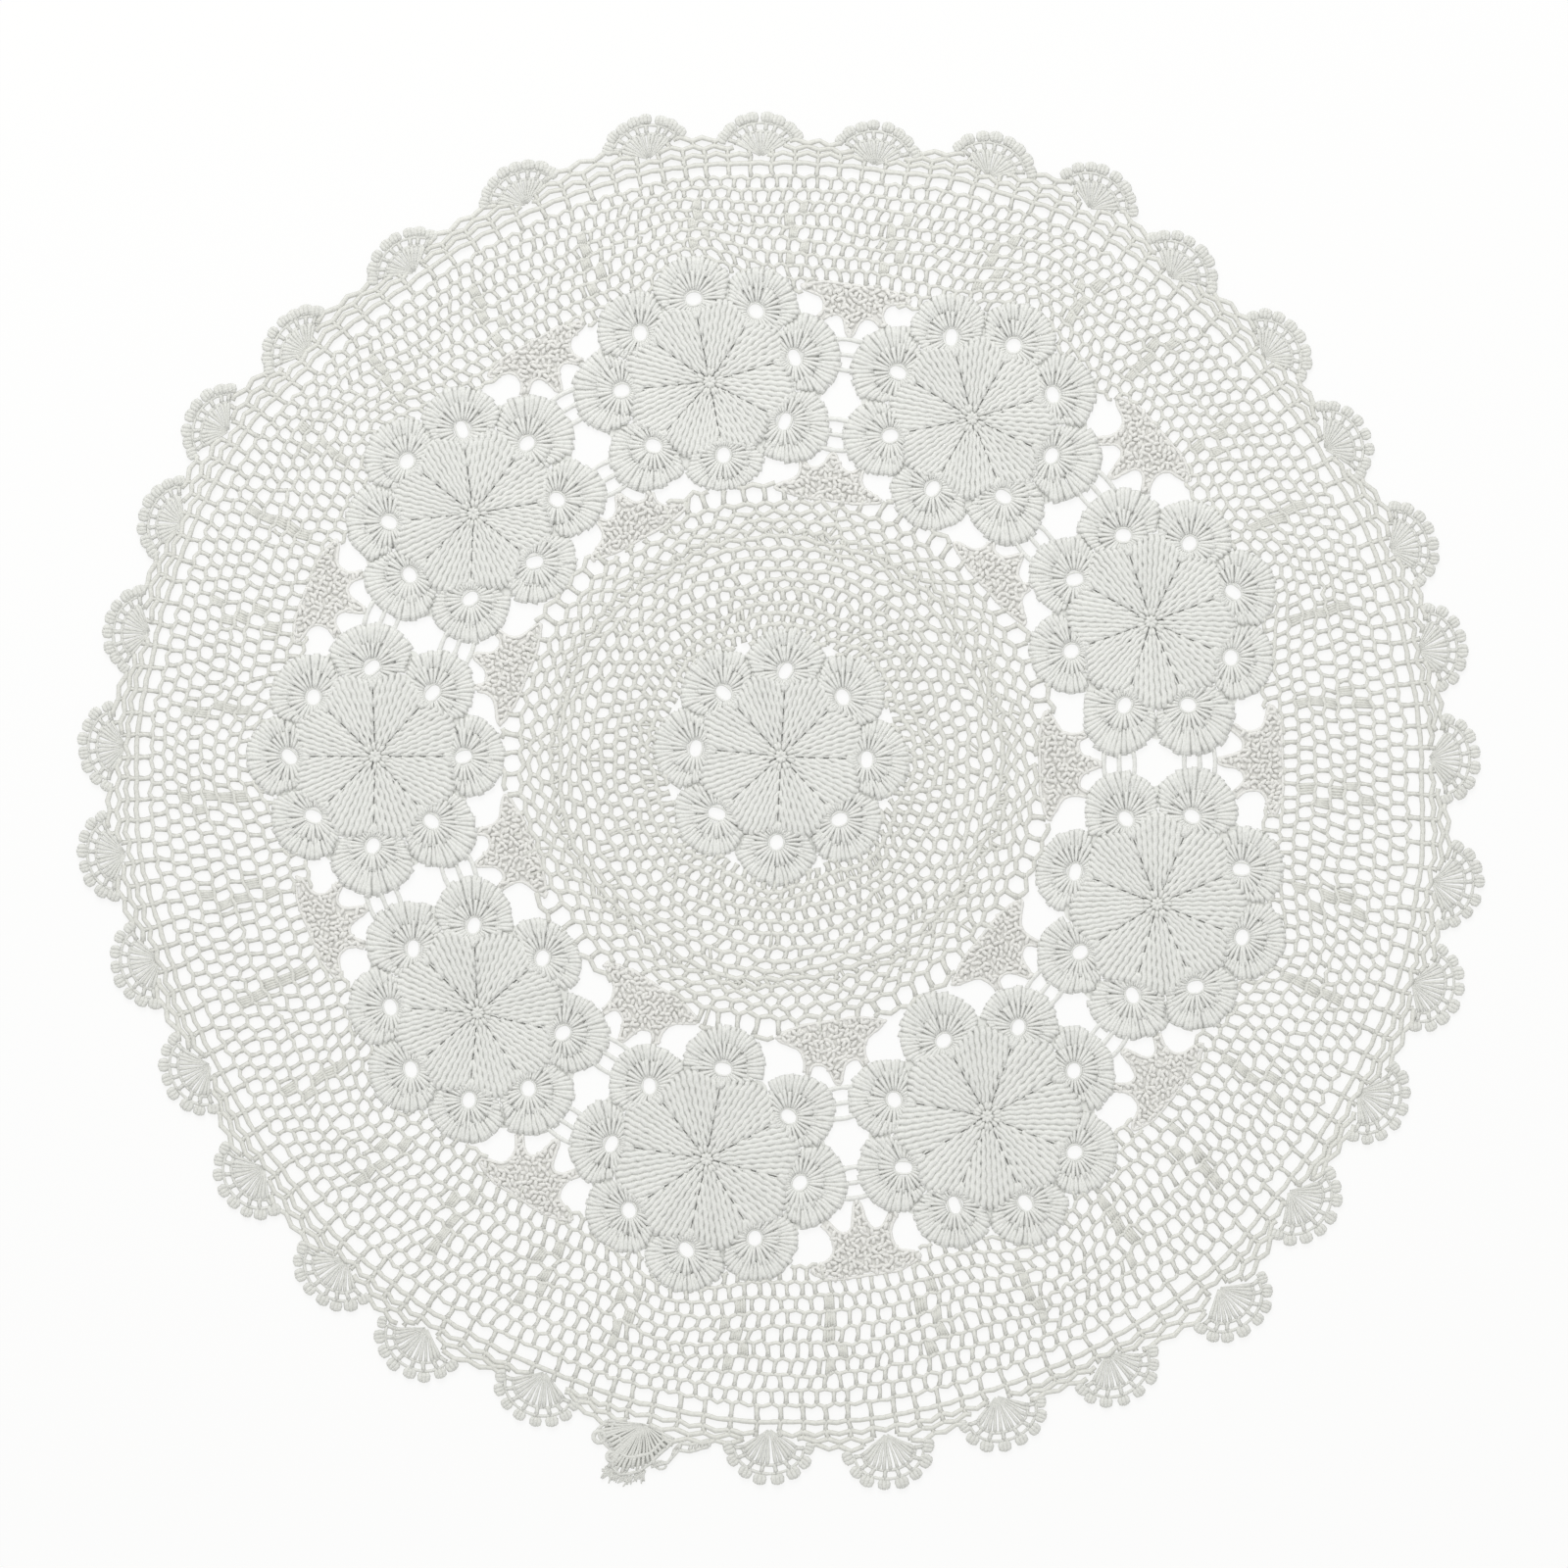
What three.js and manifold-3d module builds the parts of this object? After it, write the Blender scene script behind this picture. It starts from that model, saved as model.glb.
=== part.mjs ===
// A round crochet lace tablecloth lying flat, in millimetres, +Z up.
// Flower motifs, fillers and two nets are worked separately and joined edge to edge.
// Angles are in degrees, counter-clockwise from +X about the hub of the centre flower.
import * as THREE from "three";
import { mergeVertices } from "three/addons/utils/BufferGeometryUtils.js";
import Module from "manifold-3d";

const wasm = await Module();
wasm.setup();

// Yarn and thickness
const COTTON = { color: 0xdcdcd8, roughness: 0.9, metalness: 0 };
const NET_THICKNESS = 2.4;
const FILLER_THICKNESS = 2.8;
const BAR_THICKNESS = 2.2;
const SEAT_GAP = 0.3; // left between joined pieces
const CUT_DEPTH = 10; // cutting prisms reach this far, from half of it below the cloth

// Flower motif
const PETAL = { reach: 25, half_width: 24.5 }; // from the petal's heart, outwards and sideways
const OUTER_JOINED_HALF_WIDTH = 26.5;
const INNER_JOINED_HALF_WIDTH = 23;
const EYELET_RADIUS = 4.6;
const EYELET_SIDES = 6;
const DISC_RADIUS = 46; // the solid disc that the petals grow from
const STEPS_PER_PETAL = 6;
const CENTRE_FLOWER = { petals: [44, 87, 132, 174.5, 221.5, 267, 313, 358], heart: 49 };
const SIDE_PETAL_TURN = 44; // from the outward petal to the petals beside it
const JOINED_LEAN = 5; // joined petals lean apart from each other
const JOINED_HEART = 2; // and the outer ones' hearts lie this much further out

// Height of a flower's upper face: on the seams that run to the eyelets, and on the crowns between
const RELIEF = [
  { radius: 42, seam: 2.9, crown: 2.9 },
  { radius: 24, seam: 2.5, crown: 3.4 },
];
const PETAL_EDGE_HEIGHT = 2.2;
const HUB_HEIGHT = 3;

// Ring flowers: where each hub lies, hub to petal heart and to the inward petal's heart, where that petal
// ends, and where the fillers after it end, outer and inner
const RING_FLOWERS = [
  { angle: 20, radius: 225, twist: 0, heart: 50, inward: 48.5, tip: 152, filler: 286, base: 151 },
  { angle: 60.5, radius: 222, twist: 0, heart: 48, inward: 46, tip: 152, filler: 273, base: 148.5 },
  { angle: 100.8, radius: 218, twist: 0, heart: 48.5, inward: 42.5, tip: 155, filler: 277, base: 147.5 },
  { angle: 141.7, radius: 224, twist: 0, heart: 48.5, inward: 44.5, tip: 156, filler: 288, base: 152 },
  { angle: 180, radius: 232, twist: 0, heart: 49, inward: 50.5, tip: 157.5, filler: 288, base: 150 },
  { angle: 220.2, radius: 227, twist: 0, heart: 50, inward: 48.5, tip: 158, filler: 294, base: 148.5 },
  { angle: 259.5, radius: 234, twist: -2, heart: 53, inward: 52.5, tip: 156, filler: 301, base: 153.5 },
  { angle: 299.8, radius: 237, twist: -6, heart: 54, inward: 50, tip: 158, filler: 297, base: 153.5 },
  { angle: 338.6, radius: 231, twist: 0, heart: 52, inward: 50.5, tip: 158, filler: 287, base: 147.5 },
];

// Joins between neighbouring ring flowers: ladders of three bars across the line between the hubs
const OUTER_JOIN = 26; // outwards of that line's middle
const INNER_JOIN = -20;
const JOIN_HALF_WIDTH = 2.6; // petal to the middle of the join
const BAR_WIDTH = 2;
const BAR_LENGTH = 18;
const BAR_PITCH = 8;

// Half outlines of the fillers, from the join: across, and along away from the join
const OUTER_FILLER = [
  { across: 0, along: 9.4 },
  { across: 1.8, along: 10 },
  { across: 3.2, along: 17 },
  { across: 4.8, along: 23.5 },
  { across: 7.5, along: 26.5 },
  { across: 12.5, along: 25.5 },
  { across: 24, along: 11 },
  { across: 27, along: 14.5 },
  { across: 17.2, along: 26.5 },
  { across: 16.8, along: 33 },
  { across: 19, along: 38 },
  { across: 31, along: 41 },
  { across: 33, along: 44 },
  { across: 19, along: 49.5 },
];
const INNER_FILLER = [
  { across: 0, along: 9.4 },
  { across: 1.8, along: 10 },
  { across: 3.2, along: 15 },
  { across: 6.5, along: 21.5 },
  { across: 12, along: 22.5 },
  { across: 17, along: 13.5 },
  { across: 20, along: 14.5 },
  { across: 18, along: 21 },
  { across: 17.3, along: 25 },
  { across: 19.3, along: 30 },
  { across: 27, along: 33.8 },
  { across: 32.5, along: 36.8 },
  { across: 31, along: 38.6 },
  { across: 16, along: 41.5 },
];

// Nets
const NET_OVER_FLOWER = 60; // outer net's start, outwards of a hub
const NET_OVER_FILLER = -4.5; // and from the reach of a filler
const NET_DIPS = [
  { turn: 6.7, from_filler: -7 }, // and to either side of a filler
  { turn: 8.4, from_filler: -12 },
];
const INNER_NET_END = { radius: 158.3, sway: 2.5, least: 55 }; // and least in that direction
const NET_STEPS = 108;
const SLIT = { turn: 22, from_heart: 20, long: 12, wide: 4.6 }; // beside each outward petal
const HUB_GAP = { from_hub: 66.5, long: 8, wide: 6.4 }; // in the valleys round the centre flower

// Fan edging: the direction of each fan and how far its tip reaches
const FAN_RADIUS = 22; // outwards from its heart
const FAN_WIDENING = 4; // and so much more sideways
const PICOTS = 6;
const PICOT_RISE = 1.6;
const VALLEY = { depth: 19.2, sway: 4, deepest: 285 }; // below the lower of two tips, deeper to one side
const FAN_FOOT = 2; // a fan's rim ends this far above its valleys
// The largest loops, below each fan and each valley, deeper to one side
const LOOP = { depth: 39, sway: 4.3, deepest: 285, long: 11, wide: 7.6 };
const LOOP_SIDES = 6;
const FANS = [
  { angle: 9.5, tip: 398 },
  { angle: 18.8, tip: 396 },
  { angle: 29.5, tip: 385 },
  { angle: 39.6, tip: 385 },
  { angle: 50.9, tip: 379.5 },
  { angle: 60.6, tip: 386 },
  { angle: 70.3, tip: 378 },
  { angle: 81, tip: 368 },
  { angle: 91.9, tip: 369 },
  { angle: 102.5, tip: 375.5 },
  { angle: 114.8, tip: 373 },
  { angle: 127.2, tip: 373 },
  { angle: 139.5, tip: 381.5 },
  { angle: 149.5, tip: 393 },
  { angle: 158.7, tip: 393 },
  { angle: 168.9, tip: 395 },
  { angle: 179.1, tip: 402.5 },
  { angle: 188.4, tip: 407 },
  { angle: 198.1, tip: 402.5 },
  { angle: 208.4, tip: 400.5 },
  { angle: 218.5, tip: 407.5 },
  { angle: 229.1, tip: 410.5 },
  { angle: 238.2, tip: 415.5 },
  { angle: 249, tip: 408.5 },
  { angle: 257.7, tip: 420 },
  { angle: 269, tip: 416.5 },
  { angle: 278.8, tip: 424 },
  { angle: 288.6, tip: 418 },
  { angle: 298.7, tip: 420.5 },
  { angle: 309.5, tip: 425.5 },
  { angle: 319.4, tip: 413.5 },
  { angle: 329.8, tip: 412.5 },
  { angle: 340.3, tip: 413.5 },
  { angle: 349.1, tip: 409 },
  { angle: 359.8, tip: 400 },
];

const FULL_TURN = 360;

// Plane geometry

function polar(angle, radius) {
  const turn = THREE.MathUtils.degToRad(angle);
  return new THREE.Vector2(Math.cos(turn), Math.sin(turn)).multiplyScalar(radius);
}

function offset(start, angle, distance) {
  return polar(angle, distance).add(start);
}

function direction(vector) {
  return THREE.MathUtils.radToDeg(vector.angle());
}

// A radius in any direction, eased from each known place round the ring to the next
function easedRadius(places, angle) {
  for (let index = 0; index < places.length; index += 1) {
    const here = places[index];
    const next = places[(index + 1) % places.length];
    const span = THREE.MathUtils.euclideanModulo(next.angle - here.angle, FULL_TURN);
    const share = THREE.MathUtils.euclideanModulo(angle - here.angle, FULL_TURN) / span;
    const ease = THREE.MathUtils.smoothstep(share, 0, 1);
    if (share < 1) return THREE.MathUtils.lerp(here.radius, next.radius, ease);
  }
  return places[0].radius;
}

function ringOutline(places) {
  return Array.from({ length: NET_STEPS }, (_, step) => {
    const angle = (step * FULL_TURN) / NET_STEPS;
    return polar(angle, easedRadius(places, angle));
  });
}

function ellipse(centre, angle, long, wide) {
  const turn = THREE.MathUtils.degToRad(angle);
  const curve = new THREE.EllipseCurve(centre.x, centre.y, long / 2, wide / 2, 0, 2 * Math.PI, false, turn);
  return curve.getPoints(LOOP_SIDES).slice(0, LOOP_SIDES);
}

// Solids

function toSolid(geometry) {
  geometry.deleteAttribute("normal");
  geometry.deleteAttribute("uv");
  const merged = mergeVertices(geometry);
  return new wasm.Manifold(
    new wasm.Mesh({
      numProp: 3,
      vertProperties: merged.attributes.position.array,
      triVerts: Uint32Array.from(merged.index.array),
    }),
  );
}

function toGeometry(solid) {
  const { vertProperties, triVerts } = solid.getMesh();
  const geometry = new THREE.BufferGeometry();
  geometry.setAttribute("position", new THREE.BufferAttribute(vertProperties, 3));
  geometry.setIndex(new THREE.BufferAttribute(triVerts, 1));
  geometry.computeVertexNormals();
  return geometry;
}

function plate(outline, thickness, holes = []) {
  const shape = new THREE.Shape(outline);
  shape.holes = holes.map((hole) => new THREE.Path(hole));
  return toSolid(new THREE.ExtrudeGeometry(shape, { depth: thickness, bevelEnabled: false }));
}

function cutter(outline) {
  const shape = new THREE.Shape(outline);
  const geometry = new THREE.ExtrudeGeometry(shape, { depth: CUT_DEPTH, bevelEnabled: false });
  return toSolid(geometry.translate(0, 0, -CUT_DEPTH / 2));
}

function cutAll(solid, cutters) {
  return cutters.reduce((left, tool) => left.subtract(tool), solid);
}

// Trimming can leave crumbs, and the piece is the largest body
function largestBody(solid) {
  return solid.decompose().reduce((best, body) => (body.volume() > best.volume() ? body : best));
}

// Flower motifs: a hub, petals by direction and distance of the heart, and the valleys between them

function flowerPlan(hub, petals) {
  const count = petals.length;
  const valleys = petals.map((petal, index) => {
    const before = petals[(index + count - 1) % count];
    return petal.angle - THREE.MathUtils.euclideanModulo(petal.angle - before.angle, FULL_TURN) / 2;
  });
  return { hub, petals, valleys };
}

// How far a flower's edge lies from its hub: each petal is an ellipse about its heart
function edgeRadius(plan, angle, grow) {
  return plan.petals.reduce((edge, petal) => {
    const axes = new THREE.Vector2(petal.reach + grow, petal.halfWidth + grow);
    const ray = polar(angle - petal.angle, 1).divide(axes);
    const heart = petal.distance / axes.x;
    const square = ray.lengthSq();
    const half = ray.x * heart;
    const root = half * half - square * (heart * heart - 1);
    return ray.x > 0 && root > 0 ? Math.max(edge, (half + Math.sqrt(root)) / square) : edge;
  }, DISC_RADIUS + grow);
}

// The direction of one step of the outline, where each petal takes the same number of steps
function stepAngle(plan, step) {
  const count = plan.petals.length;
  const petal = Math.floor(step / STEPS_PER_PETAL) % count;
  const start = plan.valleys[petal];
  const span = THREE.MathUtils.euclideanModulo(plan.valleys[(petal + 1) % count] - start, FULL_TURN);
  return start + (span * (step % STEPS_PER_PETAL)) / STEPS_PER_PETAL;
}

function flowerOutline(plan, grow) {
  return Array.from({ length: plan.petals.length * STEPS_PER_PETAL }, (_, step) => {
    const angle = stepAngle(plan, step);
    return offset(plan.hub, angle, edgeRadius(plan, angle, grow));
  });
}

function eyeletCutter(centre, radius) {
  const geometry = new THREE.CylinderGeometry(radius, radius, CUT_DEPTH, EYELET_SIDES);
  return toSolid(geometry.rotateX(Math.PI / 2).translate(centre.x, centre.y, 0));
}

// A lathed disc whose points are moved out to the petals and raised on the crowns
function flowerSolid(plan) {
  const rings = RELIEF.map((ring) => new THREE.Vector2(ring.radius, ring.crown));
  const rim = RELIEF[0].radius + 1;
  const profile = [
    new THREE.Vector2(0, 0),
    new THREE.Vector2(rim, 0),
    new THREE.Vector2(rim, PETAL_EDGE_HEIGHT),
    ...rings,
    new THREE.Vector2(0, HUB_HEIGHT),
  ];
  const steps = plan.petals.length * STEPS_PER_PETAL;
  const geometry = new THREE.LatheGeometry(profile, steps);
  const points = geometry.attributes.position;
  for (let step = 0; step <= steps; step += 1) {
    const angle = stepAngle(plan, step);
    const crown = Math.abs(Math.cos((Math.PI * (step % STEPS_PER_PETAL)) / STEPS_PER_PETAL));
    profile.forEach((place, row) => {
      const ring = RELIEF[row - 3];
      const height = ring ? THREE.MathUtils.lerp(ring.seam, ring.crown, crown) : place.y;
      const radius = place.x === rim ? edgeRadius(plan, angle, 0) : place.x;
      const point = offset(plan.hub, angle, radius);
      points.setXYZ(step * profile.length + row, point.x, point.y, height);
    });
  }
  const eyelets = plan.petals.map((petal) => {
    return eyeletCutter(offset(plan.hub, petal.angle, petal.distance), EYELET_RADIUS);
  });
  return cutAll(toSolid(geometry), eyelets);
}

// Joins between ring flowers: the middle of the line between two hubs, and the direction across it

function flowerJoin(here, next) {
  const middle = here.clone().add(next).divideScalar(2);
  const outwards = direction(next.clone().sub(here)) - FULL_TURN / 4;
  return {
    outwards,
    outer: offset(middle, outwards, OUTER_JOIN),
    inner: offset(middle, outwards, INNER_JOIN),
  };
}

function freePetal(angle, distance) {
  return { angle, distance, reach: PETAL.reach, halfWidth: PETAL.half_width };
}

function joinedPetal(hub, point, distance, lean, halfWidth) {
  const line = point.clone().sub(hub);
  const reach = line.length() - distance - JOIN_HALF_WIDTH;
  return { angle: direction(line) + lean, distance, reach, halfWidth };
}

function ringFlowerPlan(flower, hub, joinBefore, joinAfter) {
  const outwards = flower.angle + flower.twist;
  const free = [0, SIDE_PETAL_TURN, -SIDE_PETAL_TURN].map((turn) => freePetal(outwards + turn, flower.heart));
  const inward = freePetal(flower.angle + FULL_TURN / 2, flower.inward);
  inward.reach = flower.radius - flower.inward - flower.tip;
  const outer = (join, lean) => {
    return joinedPetal(hub, join.outer, flower.heart + JOINED_HEART, lean, OUTER_JOINED_HALF_WIDTH);
  };
  const inner = (join, lean) => joinedPetal(hub, join.inner, flower.heart, lean, INNER_JOINED_HALF_WIDTH);
  const joined = [
    outer(joinBefore, JOINED_LEAN),
    inner(joinBefore, -JOINED_LEAN),
    outer(joinAfter, -JOINED_LEAN),
    inner(joinAfter, JOINED_LEAN),
  ];
  const order = (petal) => THREE.MathUtils.euclideanModulo(petal.angle - outwards, FULL_TURN);
  return flowerPlan(hub, [...free, inward, ...joined].sort((a, b) => order(a) - order(b)));
}

function ladderBars(join) {
  const turn = THREE.MathUtils.degToRad(join.outwards);
  return [join.outer, join.inner].flatMap((place) => {
    return [-1, 0, 1].map((rung) => {
      const centre = offset(place, join.outwards, rung * BAR_PITCH);
      const bar = new THREE.BoxGeometry(BAR_WIDTH, BAR_LENGTH, BAR_THICKNESS);
      return toSolid(bar.rotateZ(turn).translate(centre.x, centre.y, BAR_THICKNESS / 2));
    });
  });
}

// Fillers: a half outline, stretched to its reach and mirrored about the join's direction

function fillerOutline(start, angle, rows, reach, grow) {
  const tip = rows[0].along;
  const base = rows[rows.length - 1].along;
  const stretch = (reach - tip) / (base - tip);
  const half = rows.map((row) => {
    const along = tip + (row.along - tip) * stretch;
    return { across: row.across ? row.across + grow : 0, along: row.along === base ? along + grow : along };
  });
  const mirrored = half.slice(1).reverse().map((row) => ({ across: -row.across, along: row.along }));
  return [...half, ...mirrored].map((row) => {
    return offset(offset(start, angle, row.along), angle - FULL_TURN / 4, row.across);
  });
}

// Edging: the outline of the fans with their picots, and the loops below them

function valleyAngle(fan, next) {
  return fan.angle + THREE.MathUtils.euclideanModulo(next.angle - fan.angle, FULL_TURN) / 2;
}

function valleyDepth(angle) {
  return VALLEY.depth + VALLEY.sway * polar(angle - VALLEY.deepest, 1).x;
}

function fanOutline(fan, next) {
  const heart = polar(fan.angle, fan.tip - FAN_RADIUS);
  const drop = valleyDepth(fan.angle) - FAN_FOOT;
  const sweep = THREE.MathUtils.radToDeg(Math.acos(1 - drop / FAN_RADIUS));
  const steps = 2 * PICOTS;
  const rim = Array.from({ length: steps + 1 }, (_, step) => {
    const spread = THREE.MathUtils.lerp(-sweep, sweep, step / steps);
    const reach = step % 2 ? FAN_RADIUS : FAN_RADIUS - PICOT_RISE;
    const place = polar(spread, 1).multiply(new THREE.Vector2(reach, reach + FAN_WIDENING));
    return offset(heart, fan.angle + direction(place), place.length());
  });
  const middle = valleyAngle(fan, next);
  return [...rim, polar(middle, Math.min(fan.tip, next.tip) - valleyDepth(middle))];
}

function loopHole(angle, tip) {
  const depth = LOOP.depth + LOOP.sway * polar(angle - LOOP.deepest, 1).x;
  return ellipse(polar(angle, tip - depth), angle + FULL_TURN / 4, LOOP.long, LOOP.wide);
}

function loopHoles(fan, next) {
  return [loopHole(fan.angle, fan.tip), loopHole(valleyAngle(fan, next), (fan.tip + next.tip) / 2)];
}

// The cloth

const cloth = new THREE.Group();

function addPiece(name, solid) {
  const mesh = new THREE.Mesh(toGeometry(largestBody(solid)), new THREE.MeshStandardMaterial(COTTON));
  mesh.name = name;
  cloth.add(mesh);
}

const hubs = RING_FLOWERS.map((flower) => polar(flower.angle, flower.radius));
const joins = hubs.map((hub, index) => flowerJoin(hub, hubs[(index + 1) % hubs.length]));
const joinBefore = (index) => joins[(index + joins.length - 1) % joins.length];
const ringPlans = RING_FLOWERS.map((flower, index) => {
  return ringFlowerPlan(flower, hubs[index], joinBefore(index), joins[index]);
});
const ringCutters = ringPlans.map((plan) => cutter(flowerOutline(plan, SEAT_GAP)));

const centrePetals = CENTRE_FLOWER.petals.map((angle) => freePetal(angle, CENTRE_FLOWER.heart));
const centrePlan = flowerPlan(new THREE.Vector2(0, 0), centrePetals);
addPiece("centre_flower", flowerSolid(centrePlan));

const outerFillers = joins.map((join, index) => (grow) => {
  const reach = RING_FLOWERS[index].filler - join.outer.length();
  return fillerOutline(join.outer, join.outwards, OUTER_FILLER, reach, grow);
});
const innerFillers = joins.map((join, index) => (grow) => {
  const reach = join.inner.length() - RING_FLOWERS[index].base;
  return fillerOutline(join.inner, join.outwards + FULL_TURN / 2, INNER_FILLER, reach, grow);
});

const hubGaps = centrePlan.valleys.map((angle) => {
  return cutter(ellipse(polar(angle, HUB_GAP.from_hub), angle, HUB_GAP.long, HUB_GAP.wide));
});
const innerNetEnd = RING_FLOWERS.map(({ angle }) => {
  const { radius, sway, least } = INNER_NET_END;
  return { angle, radius: radius - sway * polar(angle - least, 1).x };
});
const innerNet = cutAll(plate(ringOutline(innerNetEnd), NET_THICKNESS), [
  cutter(flowerOutline(centrePlan, SEAT_GAP)),
  ...ringCutters,
  ...innerFillers.map((outline) => cutter(outline(SEAT_GAP))),
  ...hubGaps,
]);
addPiece("inner_net", innerNet);

ringPlans.forEach((plan, index) => {
  const next = (index + 1) % ringPlans.length;
  const bars = ladderBars(joins[index]).map((bar) => bar.subtract(ringCutters[next]));
  const flower = bars.reduce((whole, bar) => whole.add(bar), flowerSolid(plan));
  addPiece(`ring_flower_${index + 1}`, flower);
});

joins.forEach((join, index) => {
  const sides = [ringCutters[index], ringCutters[(index + 1) % ringCutters.length]];
  addPiece(`outer_filler_${index + 1}`, cutAll(plate(outerFillers[index](0), FILLER_THICKNESS), sides));
  addPiece(`inner_filler_${index + 1}`, cutAll(plate(innerFillers[index](0), FILLER_THICKNESS), sides));
});

const nextFan = (index) => FANS[(index + 1) % FANS.length];
const edging = FANS.flatMap((fan, index) => fanOutline(fan, nextFan(index)));
const loops = FANS.flatMap((fan, index) => loopHoles(fan, nextFan(index)));
const slits = RING_FLOWERS.flatMap((flower, index) => {
  return [SLIT.turn, -SLIT.turn].map((turn) => {
    const centre = offset(hubs[index], flower.angle + flower.twist + turn, flower.heart + SLIT.from_heart);
    return cutter(ellipse(centre, flower.angle, SLIT.long, SLIT.wide));
  });
});
const outerNetStart = RING_FLOWERS.flatMap((flower, index) => {
  const { outwards } = joins[index];
  const dip = (place, side) => ({ angle: outwards + side * place.turn, radius: flower.filler + place.from_filler });
  return [
    { angle: flower.angle, radius: flower.radius + NET_OVER_FLOWER },
    ...NET_DIPS.map((place) => dip(place, -1)).reverse(),
    { angle: outwards, radius: flower.filler + NET_OVER_FILLER },
    ...NET_DIPS.map((place) => dip(place, 1)),
  ];
});
const outerNet = cutAll(plate(edging, NET_THICKNESS, [ringOutline(outerNetStart), ...loops]), [
  ...ringCutters,
  ...outerFillers.map((outline) => cutter(outline(SEAT_GAP))),
  ...slits,
]);
addPiece("outer_net", outerNet);

// The origin is on the surface, under the middle of the cloth
const box = new THREE.Box3().setFromObject(cloth);
cloth.position.set(-(box.min.x + box.max.x) / 2, -(box.min.y + box.max.y) / 2, 0);

export default cloth;
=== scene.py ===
"""Looks of the round lace tablecloth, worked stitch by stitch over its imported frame.

Tables are in millimetres and degrees, counter-clockwise from +X about the hub of the centre flower.
A place on the cloth is a complex number, x + iy, and a height is above the floor.
"""

import logging
from collections.abc import Callable
from dataclasses import dataclass, field
from enum import Enum
from typing import Any

import bmesh
import bpy
import numpy as np
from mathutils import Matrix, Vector

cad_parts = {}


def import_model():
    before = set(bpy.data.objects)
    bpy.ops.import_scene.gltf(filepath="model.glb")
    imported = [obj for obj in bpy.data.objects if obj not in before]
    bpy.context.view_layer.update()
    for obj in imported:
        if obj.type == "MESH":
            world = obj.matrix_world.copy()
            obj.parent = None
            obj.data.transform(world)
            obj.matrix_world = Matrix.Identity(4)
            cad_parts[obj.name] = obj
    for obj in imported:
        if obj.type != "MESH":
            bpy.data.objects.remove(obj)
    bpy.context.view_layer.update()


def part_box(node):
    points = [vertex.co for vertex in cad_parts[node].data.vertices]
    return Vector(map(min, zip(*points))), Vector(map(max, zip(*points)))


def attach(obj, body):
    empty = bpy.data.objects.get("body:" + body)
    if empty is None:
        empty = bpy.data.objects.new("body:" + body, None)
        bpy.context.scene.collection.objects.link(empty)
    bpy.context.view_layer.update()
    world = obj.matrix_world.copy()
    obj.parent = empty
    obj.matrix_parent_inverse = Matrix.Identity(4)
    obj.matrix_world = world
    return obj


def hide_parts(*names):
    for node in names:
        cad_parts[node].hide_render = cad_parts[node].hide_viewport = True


MM = 0.001
TINY = 1e-6
FULL_TURN = 360.0
UP = np.array((0.0, 0.0, 1.0))
PHOTO_PIXEL = 0.56
# Tints of the ground sheets: a tint above zero paints a sheet darker, as painted shade in the gaps; above one
# it also blends toward the dark ground colour.
GROUND_SHADE_TINT = 3.0
VALLEY_SHADE_TINT = 0.6
FILLER_SHADE_TINT = 1.2
FRAYED_SHADE_TINT = 1.4
FLOWER_SEED = 11
FILLER_SEED = 31
NET_LOOSE = 0.8
NET_OVERLAP = 1.2
LOG = logging.getLogger("lace")


class Slot(Enum):
    """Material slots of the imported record."""

    COTTON = "cotton_yarn"


class Part(Enum):
    """Parts of the cloth, each given its own yarn colour."""

    FLOWER = "flower"
    FILLER = "filler"
    NET = "net"
    EDGING = "edging"


@dataclass(frozen=True)
class RingFlower:
    """One ring flower: its hub, hub to petal hearts, its inward tip and where the fillers after it end."""

    angle: float
    radius: float
    twist: float
    heart: float
    inward: float
    tip: float
    filler: float
    base: float


@dataclass(frozen=True)
class Fan:
    """One fan of the edging: its direction and how far its tip lies from the hub."""

    angle: float
    tip: float


RING_FLOWERS = tuple(
    RingFlower(*row)
    for row in (
        (20, 225, 0, 50, 48.5, 152, 286, 151),
        (60.5, 222, 0, 48, 46, 152, 273, 148.5),
        (100.8, 218, 0, 48.5, 42.5, 155, 277, 147.5),
        (141.7, 224, 0, 48.5, 44.5, 156, 288, 152),
        (180, 232, 0, 49, 50.5, 157.5, 288, 150),
        (220.2, 227, 0, 50, 48.5, 158, 294, 148.5),
        (259.5, 234, -2, 53, 52.5, 156, 301, 153.5),
        (299.8, 237, -6, 54, 50, 158, 297, 153.5),
        (338.6, 231, 0, 52, 50.5, 158, 287, 147.5),
    )
)

FANS = tuple(
    Fan(*row)
    for row in (
        *((9.5, 398), (18.8, 396), (29.5, 385), (39.6, 385), (50.9, 379.5), (60.6, 386), (70.3, 378)),
        *((81, 368), (91.9, 369), (102.5, 375.5), (114.8, 373), (127.2, 373), (139.5, 381.5), (149.5, 393)),
        *((158.7, 393), (168.9, 395), (179.1, 402.5), (188.4, 407), (198.1, 402.5), (208.4, 400.5)),
        *((218.5, 407.5), (229.1, 410.5), (238.2, 415.5), (249, 408.5), (257.7, 420), (269, 416.5)),
        *((278.8, 424), (288.6, 418), (298.7, 420.5), (309.5, 425.5), (319.4, 413.5), (329.8, 412.5)),
        *((340.3, 413.5), (349.1, 409), (359.8, 400)),
    )
)

FAN_TURNS = np.array([fan.angle for fan in FANS])
FAN_TIPS = np.array([fan.tip for fan in FANS])

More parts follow.
